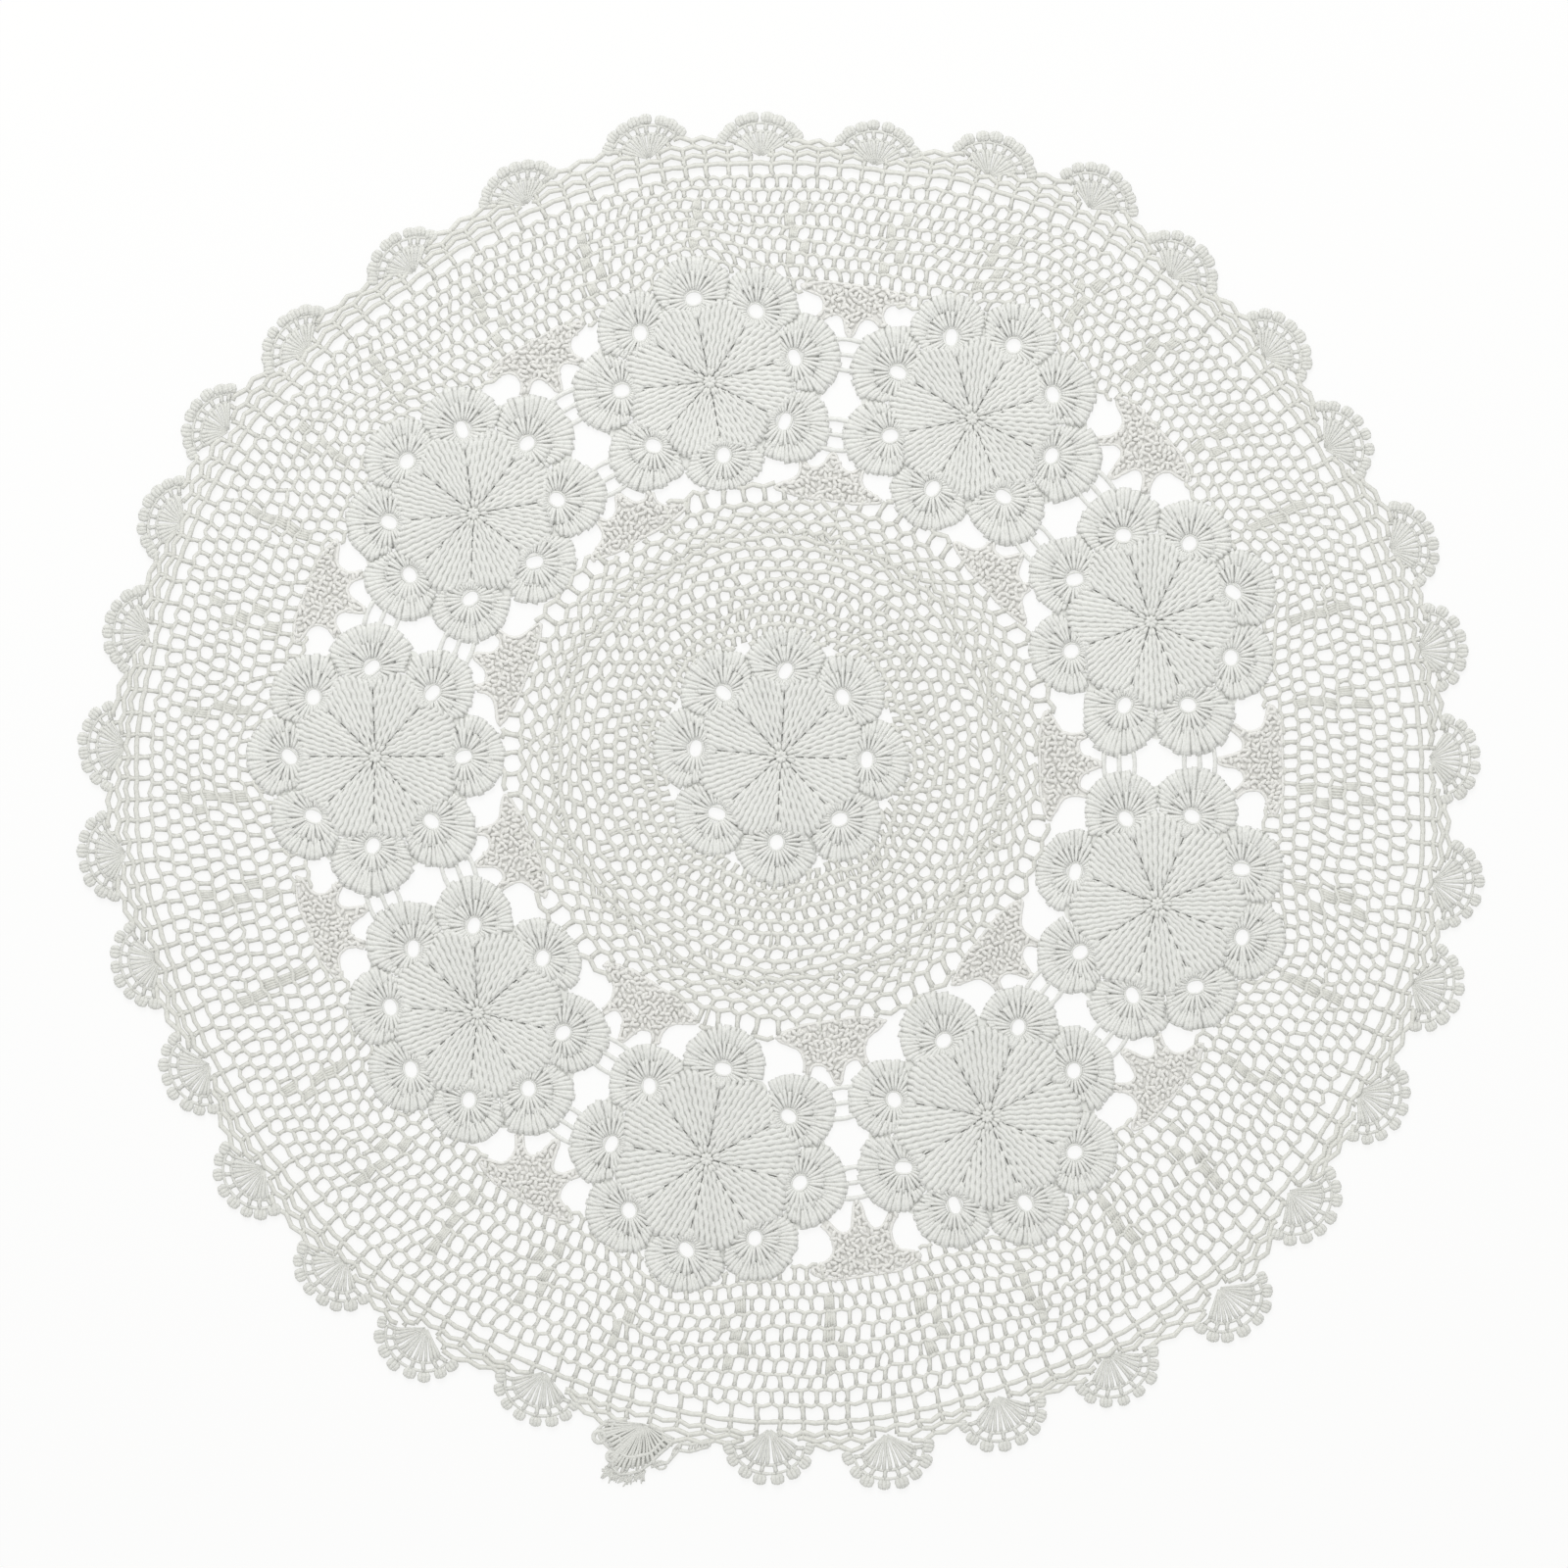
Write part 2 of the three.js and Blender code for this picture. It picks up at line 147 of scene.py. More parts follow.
# Half outlines of the fillers, from the join: across, and along away from the join
OUTER_FILLER = (
    *((0, 9.4), (1.8, 10), (3.2, 17), (4.8, 23.5), (7.5, 26.5), (12.5, 25.5), (24, 11), (27, 14.5)),
    *((17.2, 26.5), (16.8, 33), (19, 38), (31, 41), (33, 44), (19, 49.5)),
)
INNER_FILLER = (
    *((0, 9.4), (1.8, 10), (3.2, 15), (6, 20.5), (13, 22), (17.8, 13.5), (20.4, 14.5), (18, 21)),
    *((17.3, 25), (19.3, 30), (27, 33.8), (32.5, 36.8), (31, 38.6), (16, 41.5)),
)

# The undone fan, from its foot: its body, and the strip that hangs loose beside it
FRAYED_BODY = np.array(
    (
        *(3 - 24j, 9 - 26j, 14 - 25.5j, 17 - 20j, 23.5 - 16j, 28 - 16j, 32 - 14j, 32.5 - 8j, 31 - 2j),
        *(28.5 + 4j, 24.5 + 10j, 18 + 14j, 12.5 + 19j, 6 + 22j),
    )
)
FRAYED_STRIP = np.array(
    (
        *(23 + 9j, 18.5 + 18j, 14.5 + 20j, 10.4 + 22.5j),
        *(9.9 + 28.7j, 8.4 + 31.8j, 6.5 + 35j, 4.8 + 38.7j),
    )
)


def heading(degrees: Any) -> Any:
    """Gives the unit place in a direction, or in each of several."""
    return np.exp(1j * np.radians(degrees))


def bearing(place: Any) -> Any:
    """Gives the direction of a place, or of each of several, in degrees."""
    return np.degrees(np.angle(place))


def eased(angles: Any, known: list[float] | np.ndarray, values: list[float] | np.ndarray) -> np.ndarray:
    """Eases a value round the ring from each known direction to the next.

    Args:
        angles: The directions that are asked for.
        known: The directions at which the value is known.
        values: The value at each of them.

    Returns:
        The value in each direction that is asked for.
    """
    order = np.argsort(np.asarray(known) % FULL_TURN)
    at = (np.asarray(known, float) % FULL_TURN)[order]
    value = np.asarray(values, float)[order]
    asked = np.asarray(angles, float) % FULL_TURN
    after = np.searchsorted(at, asked, side="right") % len(at)
    before = after - 1
    share = ((asked - at[before]) % FULL_TURN) / ((at[after] - at[before]) % FULL_TURN)
    return value[before] + (value[after] - value[before]) * share * share * (3 - 2 * share)


def wander(angle: np.ndarray, row: int, turns: tuple[int, int]) -> np.ndarray:
    """Gives how far an uneven row of net strays from its even place, by direction and row."""
    bend = np.radians(angle)
    return np.sin(turns[0] * bend + 0.9 * row) + 0.7 * np.sin(turns[1] * bend - 1.3 * row)


def within(places: np.ndarray, outline: np.ndarray) -> np.ndarray:
    """Tells which places lie inside a closed outline.

    Args:
        places: The places to test.
        outline: The corners of the outline.

    Returns:
        True for each place inside.
    """
    place = places[..., None]
    start, end = outline, np.roll(outline, -1)
    rise = np.where(end.imag == start.imag, 1e-9, end.imag - start.imag)
    level = (start.imag > place.imag) != (end.imag > place.imag)
    at = start.real + (place.imag - start.imag) * (end.real - start.real) / rise
    return (level & (place.real < at)).sum(-1) % 2 == 1


def runs(kept: np.ndarray) -> list[np.ndarray]:
    """Splits a closed row of places into its unbroken stretches.

    Args:
        kept: True for each place that stays.

    Returns:
        The indices of each stretch, in order, of at least three places.
    """
    if kept.all():
        return [np.arange(len(kept))]
    start = int(np.argmin(kept))
    order = (np.arange(len(kept)) + start) % len(kept)
    cuts = np.flatnonzero(np.diff(kept[order].astype(int))) + 1
    return [part for part in np.split(order, cuts) if kept[part[0]] and len(part) > 2]


def spread(dice: np.random.Generator, half: float, count: int, stray: float) -> np.ndarray:
    """Spreads stitches to both sides of a direction.

    Args:
        dice: The dice that move each stitch a little.
        half: How far the stitches spread to either side.
        count: How many stitches there are.
        stray: How far a stitch may lie from its even place.

    Returns:
        The direction of each stitch, from the one between them.
    """
    return np.linspace(-half, half, count) + dice.uniform(-stray, stray, count)


def to_and_fro(dice: np.random.Generator, count: int, least: float, most: float) -> np.ndarray:
    """Gives uneven turns to one side and the other, as the stitches of a chain lie."""
    return (-1.0) ** np.arange(count) * dice.uniform(least, most, count)


def rows_between(start: np.ndarray, end: np.ndarray, count: int) -> np.ndarray:
    """Gives a row of even steps from each start to its end."""
    return start[:, None] + np.linspace(0, 1, count) * (end - start)[:, None]


def rungs(foot: np.ndarray, top: np.ndarray, bow: Any = 0) -> np.ndarray:
    """Gives the three places of each short stitch from a foot to a top, bowed or straight."""
    return np.stack([foot, (foot + top) / 2 + bow, top], -1)


def put(name: str, data: Any) -> bpy.types.Object:
    """Puts a mesh, a lamp or a camera into the scene."""
    item = bpy.data.objects.new(name, data)
    bpy.context.scene.collection.objects.link(item)
    return item


class YarnMesh:
    """Yarn gathered into one mesh: strands with a map along and around them, over a thin ground sheet that is
    tinted as painted shade.
    """

    def __init__(self, seed: int) -> None:
        """Starts with no yarn and dice of its own."""
        self.dice = np.random.default_rng(seed)
        self.points: list[np.ndarray] = []
        self.corners: list[np.ndarray] = []
        self.sizes: list[np.ndarray] = []
        self.maps: list[np.ndarray] = []
        self.tints: list[np.ndarray] = []
        self.grounds: list[tuple[np.ndarray, float, float, float]] = []
        self.count = 0

    def strands(
        self,
        plan: Any,
        height: Any,
        radius: Any,
        sides: int = 5,
        closed: bool = False,
        flat: float = 0.88,
        tint: float | None = None,
    ) -> None:
        """Adds strands of yarn, round and closed at both ends.

        Args:
            plan: The places that each strand runs through, one row for each strand.
            height: The height of the strand's middle at each place.
            radius: The strand's radius at each place.
            sides: How many sides the strand has.
            closed: Whether each strand joins up with its own start.
            flat: The strand's height as a share of its width.
            tint: How dark the strand is, or none to let the dice say.
        """
        plan = np.atleast_2d(np.asarray(plan, complex))
        radius = np.broadcast_to(np.asarray(radius, float), plan.shape)
        height = np.maximum(np.broadcast_to(np.asarray(height, float), plan.shape), flat * radius)
        count, steps = plan.shape
        path = np.stack([plan.real, plan.imag, height], -1)
        ahead = np.roll(path, -1, 1) - np.roll(path, 1, 1) if closed else np.gradient(path, axis=1)
        side = np.cross(ahead, UP)
        side /= np.linalg.norm(side, axis=-1, keepdims=True) + 1e-12
        lift = np.cross(side, ahead)
        lift /= np.linalg.norm(lift, axis=-1, keepdims=True) + 1e-12
        spin = 2 * np.pi * np.arange(sides) / sides + np.pi / 2
        round_it = np.cos(spin)[:, None] * side[:, :, None] + flat * np.sin(spin)[:, None] * lift[:, :, None]
        self.points.append((path[:, :, None] + radius[:, :, None, None] * round_it).reshape(-1, 3))
        grid = self.count + np.arange(count * steps * sides).reshape(count, steps, sides)
        near = grid if closed else grid[:, :-1]
        far = np.roll(grid, -1, 1) if closed else grid[:, 1:]
        quads = np.stack([near, far, np.roll(far, -1, 2), np.roll(near, -1, 2)], -1)
        step = np.linalg.norm(np.diff(path, axis=1, append=path[:, :1]), axis=-1)
        along = np.concatenate([np.zeros((count, 1)), np.cumsum(step, 1)], 1)
        along += self.dice.uniform(0, 20, (count, 1))
        segments = near.shape[1]
        here = np.broadcast_to(along[:, :segments, None], near.shape)
        there = np.broadcast_to(along[:, 1 : segments + 1, None], near.shape)
        left = np.broadcast_to(np.arange(sides) / sides, near.shape)
        right = left + 1 / sides
        ends = [np.stack(pair, -1) for pair in ((here, left), (there, left), (there, right), (here, right))]
        self._faces(quads.reshape(-1, 4), np.stack(ends, -2).reshape(-1, 2))
        if not closed:
            caps = np.concatenate([grid[:, 0], grid[:, -1, ::-1]])
            at = np.concatenate([along[:, 0], along[:, steps - 1]])
            self._faces(caps, np.stack([np.repeat(at, sides), np.full(caps.size, 0.5)], -1))
        shades = self.dice.uniform(-1, 1, count) if tint is None else np.full(count, tint)
        self.tints.append(np.repeat(shades, steps * sides))
        self.count += count * steps * sides

    def _faces(self, corners: np.ndarray, places: np.ndarray) -> None:
        """Adds faces of one number of corners, with the map of each corner."""
        self.corners.append(corners.ravel())
        self.sizes.append(np.full(len(corners), corners.shape[1]))
        self.maps.append(places)

    def ground(self, outline: np.ndarray, low: float, high: float, tint: float) -> None:
        """Adds a flat ground sheet below the stitches, from its outline, two heights and a tint; the tint
        paints it darker, as painted shade in the gaps.
        """
        self.grounds.append((outline, low, high, tint))

    def _mesh(self, name: str, hub: complex) -> bpy.types.Mesh:
        """Makes the strands one mesh, in metres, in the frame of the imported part."""
        points = np.concatenate(self.points) + (hub.real, hub.imag, 0)
        corners = np.concatenate(self.corners)
        sizes = np.concatenate(self.sizes)
        mesh = bpy.data.meshes.new(name)
        mesh.vertices.add(len(points))
        mesh.vertices.foreach_set("co", (points * MM).astype(np.float32).ravel())
        mesh.loops.add(len(corners))
        mesh.loops.foreach_set("vertex_index", corners.astype(np.int32))
        mesh.polygons.add(len(sizes))
        mesh.polygons.foreach_set("loop_start", (np.cumsum(sizes) - sizes).astype(np.int32))
        mesh.polygons.foreach_set("use_smooth", np.ones(len(sizes), bool))
        layer = mesh.uv_layers.new(name="yarn")
        layer.data.foreach_set("uv", np.concatenate(self.maps).astype(np.float32).ravel())
        tint = mesh.attributes.new("tint", "FLOAT", "POINT")
        tint.data.foreach_set("value", np.concatenate(self.tints).astype(np.float32))
        mesh.update(calc_edges=True)
        return mesh

    def _lay_grounds(self, mesh: bpy.types.Mesh, hub: complex) -> None:
        """Extrudes each ground from its outline, into the mesh."""
        form = bmesh.new()
        form.from_mesh(mesh)
        layer = form.verts.layers.float["tint"]
        for outline, low, high, tint in self.grounds:
            corners = [form.verts.new(((p + hub).real * MM, (p + hub).imag * MM, low * MM)) for p in outline]
            base = form.faces.new(corners)
            top = bmesh.ops.extrude_discrete_faces(form, faces=[base])["faces"][0]
            bmesh.ops.translate(form, verts=list(top.verts), vec=(0, 0, (high - low) * MM))
            bottom = form.faces.new(corners)
            sides = [face for edge in top.edges for face in edge.link_faces if face != top]
            bmesh.ops.recalc_face_normals(form, faces=[bottom, top, *sides])
            # The ground's tint paints its colour darker: painted shade.
            for vert in (*corners, *top.verts):
                vert[layer] = tint
        form.to_mesh(mesh)
        form.free()

    def piece(self, name: str, hub: complex, finish: bpy.types.Material, *nodes: str) -> bpy.types.Object:
        """Makes the yarn a piece of the cloth that stands for nodes of the frame.

        Args:
            name: The piece's name.
            hub: Where the hub of the centre flower lies in the frame.
            finish: The yarn's material.
            nodes: The frame's nodes that the piece stands for.

        Returns:
            The piece.
        """
        mesh = self._mesh(name, hub)
        if self.grounds:
            self._lay_grounds(mesh, hub)
        mesh.materials.append(finish)
        piece = put(name, mesh)
        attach(piece, "root")
        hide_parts(*nodes)
        LOG.info("%s: %d triangles", name, sum(len(face.vertices) - 2 for face in mesh.polygons))
        return piece


@dataclass(frozen=True)
class Petal:
    """One petal of a flower, an oval about its heart."""

    angle: float
    distance: float
    reach: float
    half_width: float


@dataclass(frozen=True)
class FlowerPlan:
    """Where a flower's hub and petals lie."""

    hub: complex
    petals: tuple[Petal, ...]
    disc: float = 46.0

    def after(self, index: int) -> Petal:
        """Gives the petal after one of them."""
        return self.petals[(index + 1) % len(self.petals)]

    def valley(self, index: int) -> float:
        """Gives the direction of the valley after a petal."""
        here = self.petals[index].angle
        return here + (self.after(index).angle - here) % FULL_TURN / 2

    def edge(self, angle: np.ndarray, grow: float = 0.0) -> np.ndarray:
        """Finds how far the flower reaches from its hub.

        Args:
            angle: The directions.
            grow: How much larger the flower is taken to be.

        Returns:
            The reach in each direction.
        """
        far = np.full(np.shape(angle), self.disc + grow)
        for petal in self.petals:
            ray = heading(angle - petal.angle)
            x, y = ray.real / (petal.reach + grow), ray.imag / (petal.half_width + grow)
            heart = petal.distance / (petal.reach + grow)
            square, half = x * x + y * y, x * heart
            root = half * half - square * (heart * heart - 1)
            hit = (half + np.sqrt(np.maximum(root, 0))) / square
            far = np.where((x > 0) & (root > 0), np.maximum(far, hit), far)
        return far

    def holds(self, places: np.ndarray, grow: float = 0.0) -> np.ndarray:
        """Tells which places lie on the flower."""
        away = places - self.hub
        return np.abs(away) < self.edge(bearing(away), grow)


@dataclass(frozen=True)
class Join:
    """The two ladders between neighbouring ring flowers, and the direction from one ladder to the other."""

    outwards: float
    outer: complex
    inner: complex


@dataclass
class ClothPlan:
    """The plan of the whole cloth: flowers, joins and fillers."""

    petal_reach: float = 25.0
    petal_half_width: float = 24.5
    outer_half_width: float = 26.5
    inner_half_width: float = 23.0
    side_turn: float = 44.0
    joined_lean: float = 5.0
    joined_heart: float = 2.0
    outer_join: float = 26.0
    inner_join: float = -20.0
    join_half_width: float = 2.6
    centre_heart: float = 49.0
    centre_turns: tuple[float, ...] = (44, 87, 132, 174.5, 221.5, 267, 313, 358)
    joins: list[Join] = field(default_factory=list)
    centre: FlowerPlan | None = None
    ring: list[FlowerPlan] = field(default_factory=list)
    outer_fillers: list[np.ndarray] = field(default_factory=list)
    inner_fillers: list[np.ndarray] = field(default_factory=list)

    def __post_init__(self) -> None:
        """Lays out the joins, the flowers and the fillers."""
        hubs = [flower.radius * heading(flower.angle) for flower in RING_FLOWERS]
        for here, there in zip(hubs, hubs[1:] + hubs[:1]):
            outwards = bearing(there - here) - FULL_TURN / 4
            middle, way = (here + there) / 2, heading(outwards)
            self.joins.append(Join(outwards, middle + way * self.outer_join, middle + way * self.inner_join))
        self.centre = FlowerPlan(0j, tuple(self._free(turn, self.centre_heart) for turn in self.centre_turns))
        for index, flower in enumerate(RING_FLOWERS):
            self.ring.append(self._ring_flower(flower, hubs[index], self.joins[index - 1], self.joins[index]))
        for flower, join in zip(RING_FLOWERS, self.joins):
            reach = flower.filler - abs(join.outer)
            self.outer_fillers.append(self._filler(join.outer, join.outwards, OUTER_FILLER, reach))
            inwards = join.outwards + FULL_TURN / 2
            reach = abs(join.inner) - flower.base
            self.inner_fillers.append(self._filler(join.inner, inwards, INNER_FILLER, reach))

    def _free(self, angle: float, heart: float) -> Petal:
        """Gives a petal that is joined to no other flower."""
        return Petal(angle, heart, self.petal_reach, self.petal_half_width)

    def _joined(self, hub: complex, point: complex, heart: float, lean: float, half_width: float) -> Petal:
        """Gives a petal that reaches to a join."""
        line = point - hub
        reach = abs(line) - heart - self.join_half_width
        return Petal(bearing(line) + lean, heart, reach, half_width)

    def _ring_flower(self, flower: RingFlower, hub: complex, before: Join, after: Join) -> FlowerPlan:
        """Gives a ring flower between its two joins, with its petals in order round the hub."""
        outwards = flower.angle + flower.twist
        petals = [self._free(outwards + turn, flower.heart) for turn in (0, self.side_turn, -self.side_turn)]
        reach = flower.radius - flower.inward - flower.tip
        petals.append(Petal(flower.angle + FULL_TURN / 2, flower.inward, reach, self.petal_half_width))
        for join, lean in ((before, self.joined_lean), (after, -self.joined_lean)):
            heart = flower.heart + self.joined_heart
            petals.append(self._joined(hub, join.outer, heart, lean, self.outer_half_width))
            petals.append(self._joined(hub, join.inner, flower.heart, -lean, self.inner_half_width))
        petals.sort(key=lambda petal: (petal.angle - outwards) % FULL_TURN)
        return FlowerPlan(hub, tuple(petals))

    @staticmethod
    def _filler(start: complex, angle: float, rows: tuple, reach: float) -> np.ndarray:
        """Gives a filler's outline: its half outline stretched to its reach and mirrored."""
        across, along = np.array(rows, float).T
        along = along[0] + (along - along[0]) * (reach - along[0]) / (along[-1] - along[0])
        across = np.concatenate([across, -across[:0:-1]])
        along = np.concatenate([along, along[:0:-1]])
        return start + heading(angle) * (along - 1j * across)

    def clear(self, places: np.ndarray, overlap: float) -> np.ndarray:
        """Tells which places lie clear of all flowers and fillers.

        Args:
            places: The places to test.
            overlap: How far a place may lie inside a flower.

        Returns:
            True for each place that is clear.
        """
        free = ~self.centre.holds(places, -overlap)
        for flower in self.ring:
            free &= ~flower.holds(places, -overlap)
        for outline in (*self.outer_fillers, *self.inner_fillers):
            free &= ~within(places, outline)
        return free


@dataclass
class Flower:
    """A flower motif: a disc of wedges, a hub, and petals that fan out from their eyelets."""

    plan: FlowerPlan
    seed: int
    join: Join | None = None
    ground_inset: float = 7.4
    valley_ground: float = 6.4
    hub_reach: float = 6.0
    hub_rounds: tuple[tuple[int, float, float], ...] = ((8, 0.2, 3.8), (15, 3.7, 8.2))
    columns: int = 11
    column_step: float = 3.4
    column_lean: float = 0.45
    column_fill: float = 0.63
    disc_bulge: float = 6.5
    disc_inset: float = 6.9
    seam_gap: float = 1.6
    rim_radius: float = 4.75
    rim_yarn: float = 0.75
    rim_overlap: float = 0.3
    shelf_radius: float = 10.6
    shelf_half_width: float = 4.9
    shelf_shade_tints: tuple[float, float] = (1.5, 1.0)
    spokes: int = 20
    spoke_swing: float = 126.0
    slit_end: float = 15.6
    ridges: int = 38
    back_swing: float = 98.0
    back_room: float = 9.5
    back_reach: float = 9.4
    bar_length: float = 11.0
    bar_spread: float = 5.0
    bar_pitch: float = 8.0
    bar_yarn: float = 1.4

    def build(self) -> YarnMesh:
        """Works the whole flower."""
        yarn = YarnMesh(self.seed)
        self._lay_ground(yarn)
        self._work_hub(yarn)
        for index in range(len(self.plan.petals)):
            self._work_wedge(yarn, index)
            self._work_petal(yarn, index)
        if self.join:
            self._work_ladders(yarn)
        return yarn

    def _lay_ground(self, yarn: YarnMesh) -> None:
        """Lays the thin ground sheet under the disc, tinted dark as painted shade between its stitches, and a
        patch of ground under each valley.
        """
        petals, turn = self.plan.petals, np.arange(0, FULL_TURN, 10)
        heart = eased(turn, [petal.angle for petal in petals], [petal.distance for petal in petals])
        # The ground under the disc is tinted dark: painted shade between the columns.
        yarn.ground(self.plan.hub + (heart - self.ground_inset) * heading(turn), 0.3, 0.8, GROUND_SHADE_TINT)
        patch = self.valley_ground * heading(np.arange(0, FULL_TURN, 30))
        for index in range(len(petals)):
            valley = self.plan.valley(index)
            reach = self.plan.edge(np.array(valley)) - self.ground_inset
            # Each valley patch is tinted a little darker: faint painted shade under the gap between petals.
            yarn.ground(self.plan.hub + reach * heading(valley) + patch, 0.25, 0.9, VALLEY_SHADE_TINT)

    def _work_hub(self, yarn: YarnMesh) -> None:
        """Works the ring of short stitches at the hub."""
        for count, start, end in self.hub_rounds:
            swing = heading(np.arange(count) * FULL_TURN / count + yarn.dice.uniform(-5, 5, count))
            path = self.plan.hub + swing[:, None] * np.linspace(start, end, 4)
            yarn.strands(path, (1.5, 2.0, 2.0, 1.5), (0.9, 1.3, 1.4, 0.95), sides=4)

    def _work_wedge(self, yarn: YarnMesh, index: int) -> None:
        """Works the columns of the wedge after a petal, which meet at a slant along the seams."""
        petal, after = self.plan.petals[index], self.plan.after(index)
        span = (after.angle - petal.angle) % FULL_TURN
        middle = petal.angle + span / 2
        count = max(7, round(self.columns * span / 45))
        for column in range(count):
            share = (column + 0.5) / count
            angle = petal.angle + share * span
            reach = petal.distance + share * (after.distance - petal.distance)
            reach += self.disc_bulge * np.sin(np.pi * share) ** 2 - self.disc_inset
            lean = middle + self.column_lean * (angle - middle)
            seam = np.conj(heading(petal.angle if share < 0.5 else after.angle))
            tip, way = reach * heading(angle), heading(lean)
            run = (seam * tip).imag / (seam * way).imag - self.seam_gap
            run = min(run, reach * np.cos(np.radians(angle - lean)) - self.hub_reach)
            steps = max(4, round(run / self.column_step) + 1)
            along = np.linspace(0, run, steps)
            turn = to_and_fro(yarn.dice, steps, 0.6, 1.3)
            spacing = np.radians(span / count) * (reach - self.column_lean * along)
            path = self.plan.hub + tip - way * along + 1j * way * 0.4 * turn
            width = self.column_fill * spacing * yarn.dice.uniform(0.9, 1.1, steps)
            width[[0, -1]] *= 0.75
            yarn.strands(path, 1.6 + 0.16 * turn, width, sides=4, flat=0.66)
        self._work_seam(yarn, petal)

    def _work_seam(self, yarn: YarnMesh, petal: Petal) -> None:
        """Works the two thin strands that edge the wedges along a seam, with a dark line between them."""
        way = heading(petal.angle)
        along = np.arange(self.hub_reach + 2, petal.distance - 6.5, 2.0)
        for side in (-1, 1):
            turn = to_and_fro(yarn.dice, len(along), 0.4, 1.2)
            path = self.plan.hub + way * (along + 1j * side * (0.88 + 0.2 * turn))
            yarn.strands(path, 1.45 + 0.15 * turn, 0.6 + 0.1 * turn, sides=4)

    def _room(self, index: int, swing: np.ndarray) -> np.ndarray:
        """Finds how far a petal's stitches may run from its heart.

        Args:
            index: The petal.
            swing: The stitches' directions, from the petal's own.

        Returns:
            The distance to the petal's edge, to the valley beside it or to the disc.
        """
        petal = self.plan.petals[index]
        turn, heart = np.radians(swing), petal.distance * heading(petal.angle)
        room = 1 / np.hypot(np.cos(turn) / petal.reach, np.sin(turn) / petal.half_width)
        for valley, sign in ((self.plan.valley(index - 1), -1), (self.plan.valley(index), 1)):
            axis = np.conj(heading(valley))
            speed = sign * (axis * heading(petal.angle + swing)).imag
            limit = -sign * (axis * heart).imag / np.maximum(speed, TINY) - 0.6
            room = np.where(speed > TINY, np.minimum(room, limit), room)
        back = self.back_room + 0.3 * (self.spoke_swing + 4 - np.abs(swing))
        return np.where(np.abs(swing) > self.back_swing, np.minimum(room, back), room)

    def _work_petal(self, yarn: YarnMesh, index: int) -> None:
        """Works one petal: its eyelet, the slits round it, the shell beyond and the stitches behind."""
        petal = self.plan.petals[index]
        heart = self.plan.hub + petal.distance * heading(petal.angle)
        self._work_eyelet(yarn, heart)
        self._work_slits(yarn, index, heart)
        self._work_shell(yarn, index, heart)
        self._work_back(yarn, petal.angle, heart)

    def _work_eyelet(self, yarn: YarnMesh, heart: complex) -> None:
        """Works the eyelet's oval rim, and the low shelves under the slits, tinted as painted shade, darker
        above the eyelet than below it.
        """
        rim = heading(np.arange(16) * FULL_TURN / 16)
        oval = 1 + yarn.dice.uniform(0.05, 0.22) * np.cos(2 * np.angle(rim) + yarn.dice.uniform(0, 6))
        yarn.strands(heart + self.rim_radius * rim * oval, 1.4, self.rim_yarn, closed=True)
        bend = np.linspace(-1, 1, 13)
        # The shelves' tints paint the slits dark, more on the upper side: painted shade.
        for middle, tint in zip((90, 270), self.shelf_shade_tints):
            shelf = heart + self.shelf_radius * heading(middle + 95 * bend)
            width = self.shelf_half_width * np.cos(bend) ** 0.5
            yarn.strands(shelf, 0.8, width, sides=4, flat=0.07, tint=tint)

    def _work_slits(self, yarn: YarnMesh, index: int, heart: complex) -> None:
        """Works the spokes round the eyelet, with slits between them."""
        dice = yarn.dice
        swing = spread(dice, self.spoke_swing, self.spokes, 2.2)
        stop = np.minimum(self.slit_end * dice.uniform(0.88, 1.1, self.spokes), self._room(index, swing))
        start = np.full(self.spokes, self.rim_radius + self.rim_overlap)
        path = heart + heading(self.plan.petals[index].angle + swing)[:, None] * rows_between(start, stop, 4)
        width = np.array((0.8, 1.02, 1.22, 1.5)) * dice.uniform(0.85, 1.2, (self.spokes, 1))
        # A tint below zero paints the spokes lighter than the yarn's usual tone: painted light on them.
        yarn.strands(path, (1.7, 1.6, 1.6, 1.6), width, sides=4, flat=0.7, tint=-1.2)

    def _work_shell(self, yarn: YarnMesh, index: int, heart: complex) -> None:
        """Works the stitches that fan out beyond the slits, to the petal's edge."""
        dice = yarn.dice
        fan = spread(dice, self.spoke_swing, self.ridges, 1.2)
        room = self._room(index, fan) * dice.uniform(0.96, 1.02, self.ridges)
        kept = room > self.slit_end + 0.8
        fan, room = fan[kept], room[kept]
        along = rows_between(self.slit_end - dice.uniform(1.4, 4.0, fan.shape), room, 5)
        sway = 1 + 1j * np.radians(dice.normal(0, 0.6, along.shape))
        path = heart + heading(self.plan.petals[index].angle + fan)[:, None] * along * sway
        spacing = np.radians(2 * self.spoke_swing / (self.ridges - 1)) * along
        width = spacing * np.array((0.42, 0.6, 0.68, 0.7, 0.6)) * dice.uniform(0.88, 1.14, along.shape)
        yarn.strands(path, (1.5, 1.8, 1.85, 1.7, 1.3), width, sides=4, flat=0.68)

    def _work_back(self, yarn: YarnMesh, angle: float, heart: complex) -> None:
        """Works the short stitches behind the eyelet, onto the disc."""
        pitch = 2 * self.spoke_swing / (self.spokes - 1)
        back = np.linspace(self.spoke_swing + pitch, FULL_TURN - self.spoke_swing - pitch, 8)
        along = np.linspace(self.rim_radius + self.rim_overlap, self.back_reach, 3)
        path = heart + heading(angle + back)[:, None] * along
        yarn.strands(path, (1.7, 1.7, 1.5), (0.7, 0.95, 0.8), sides=4)

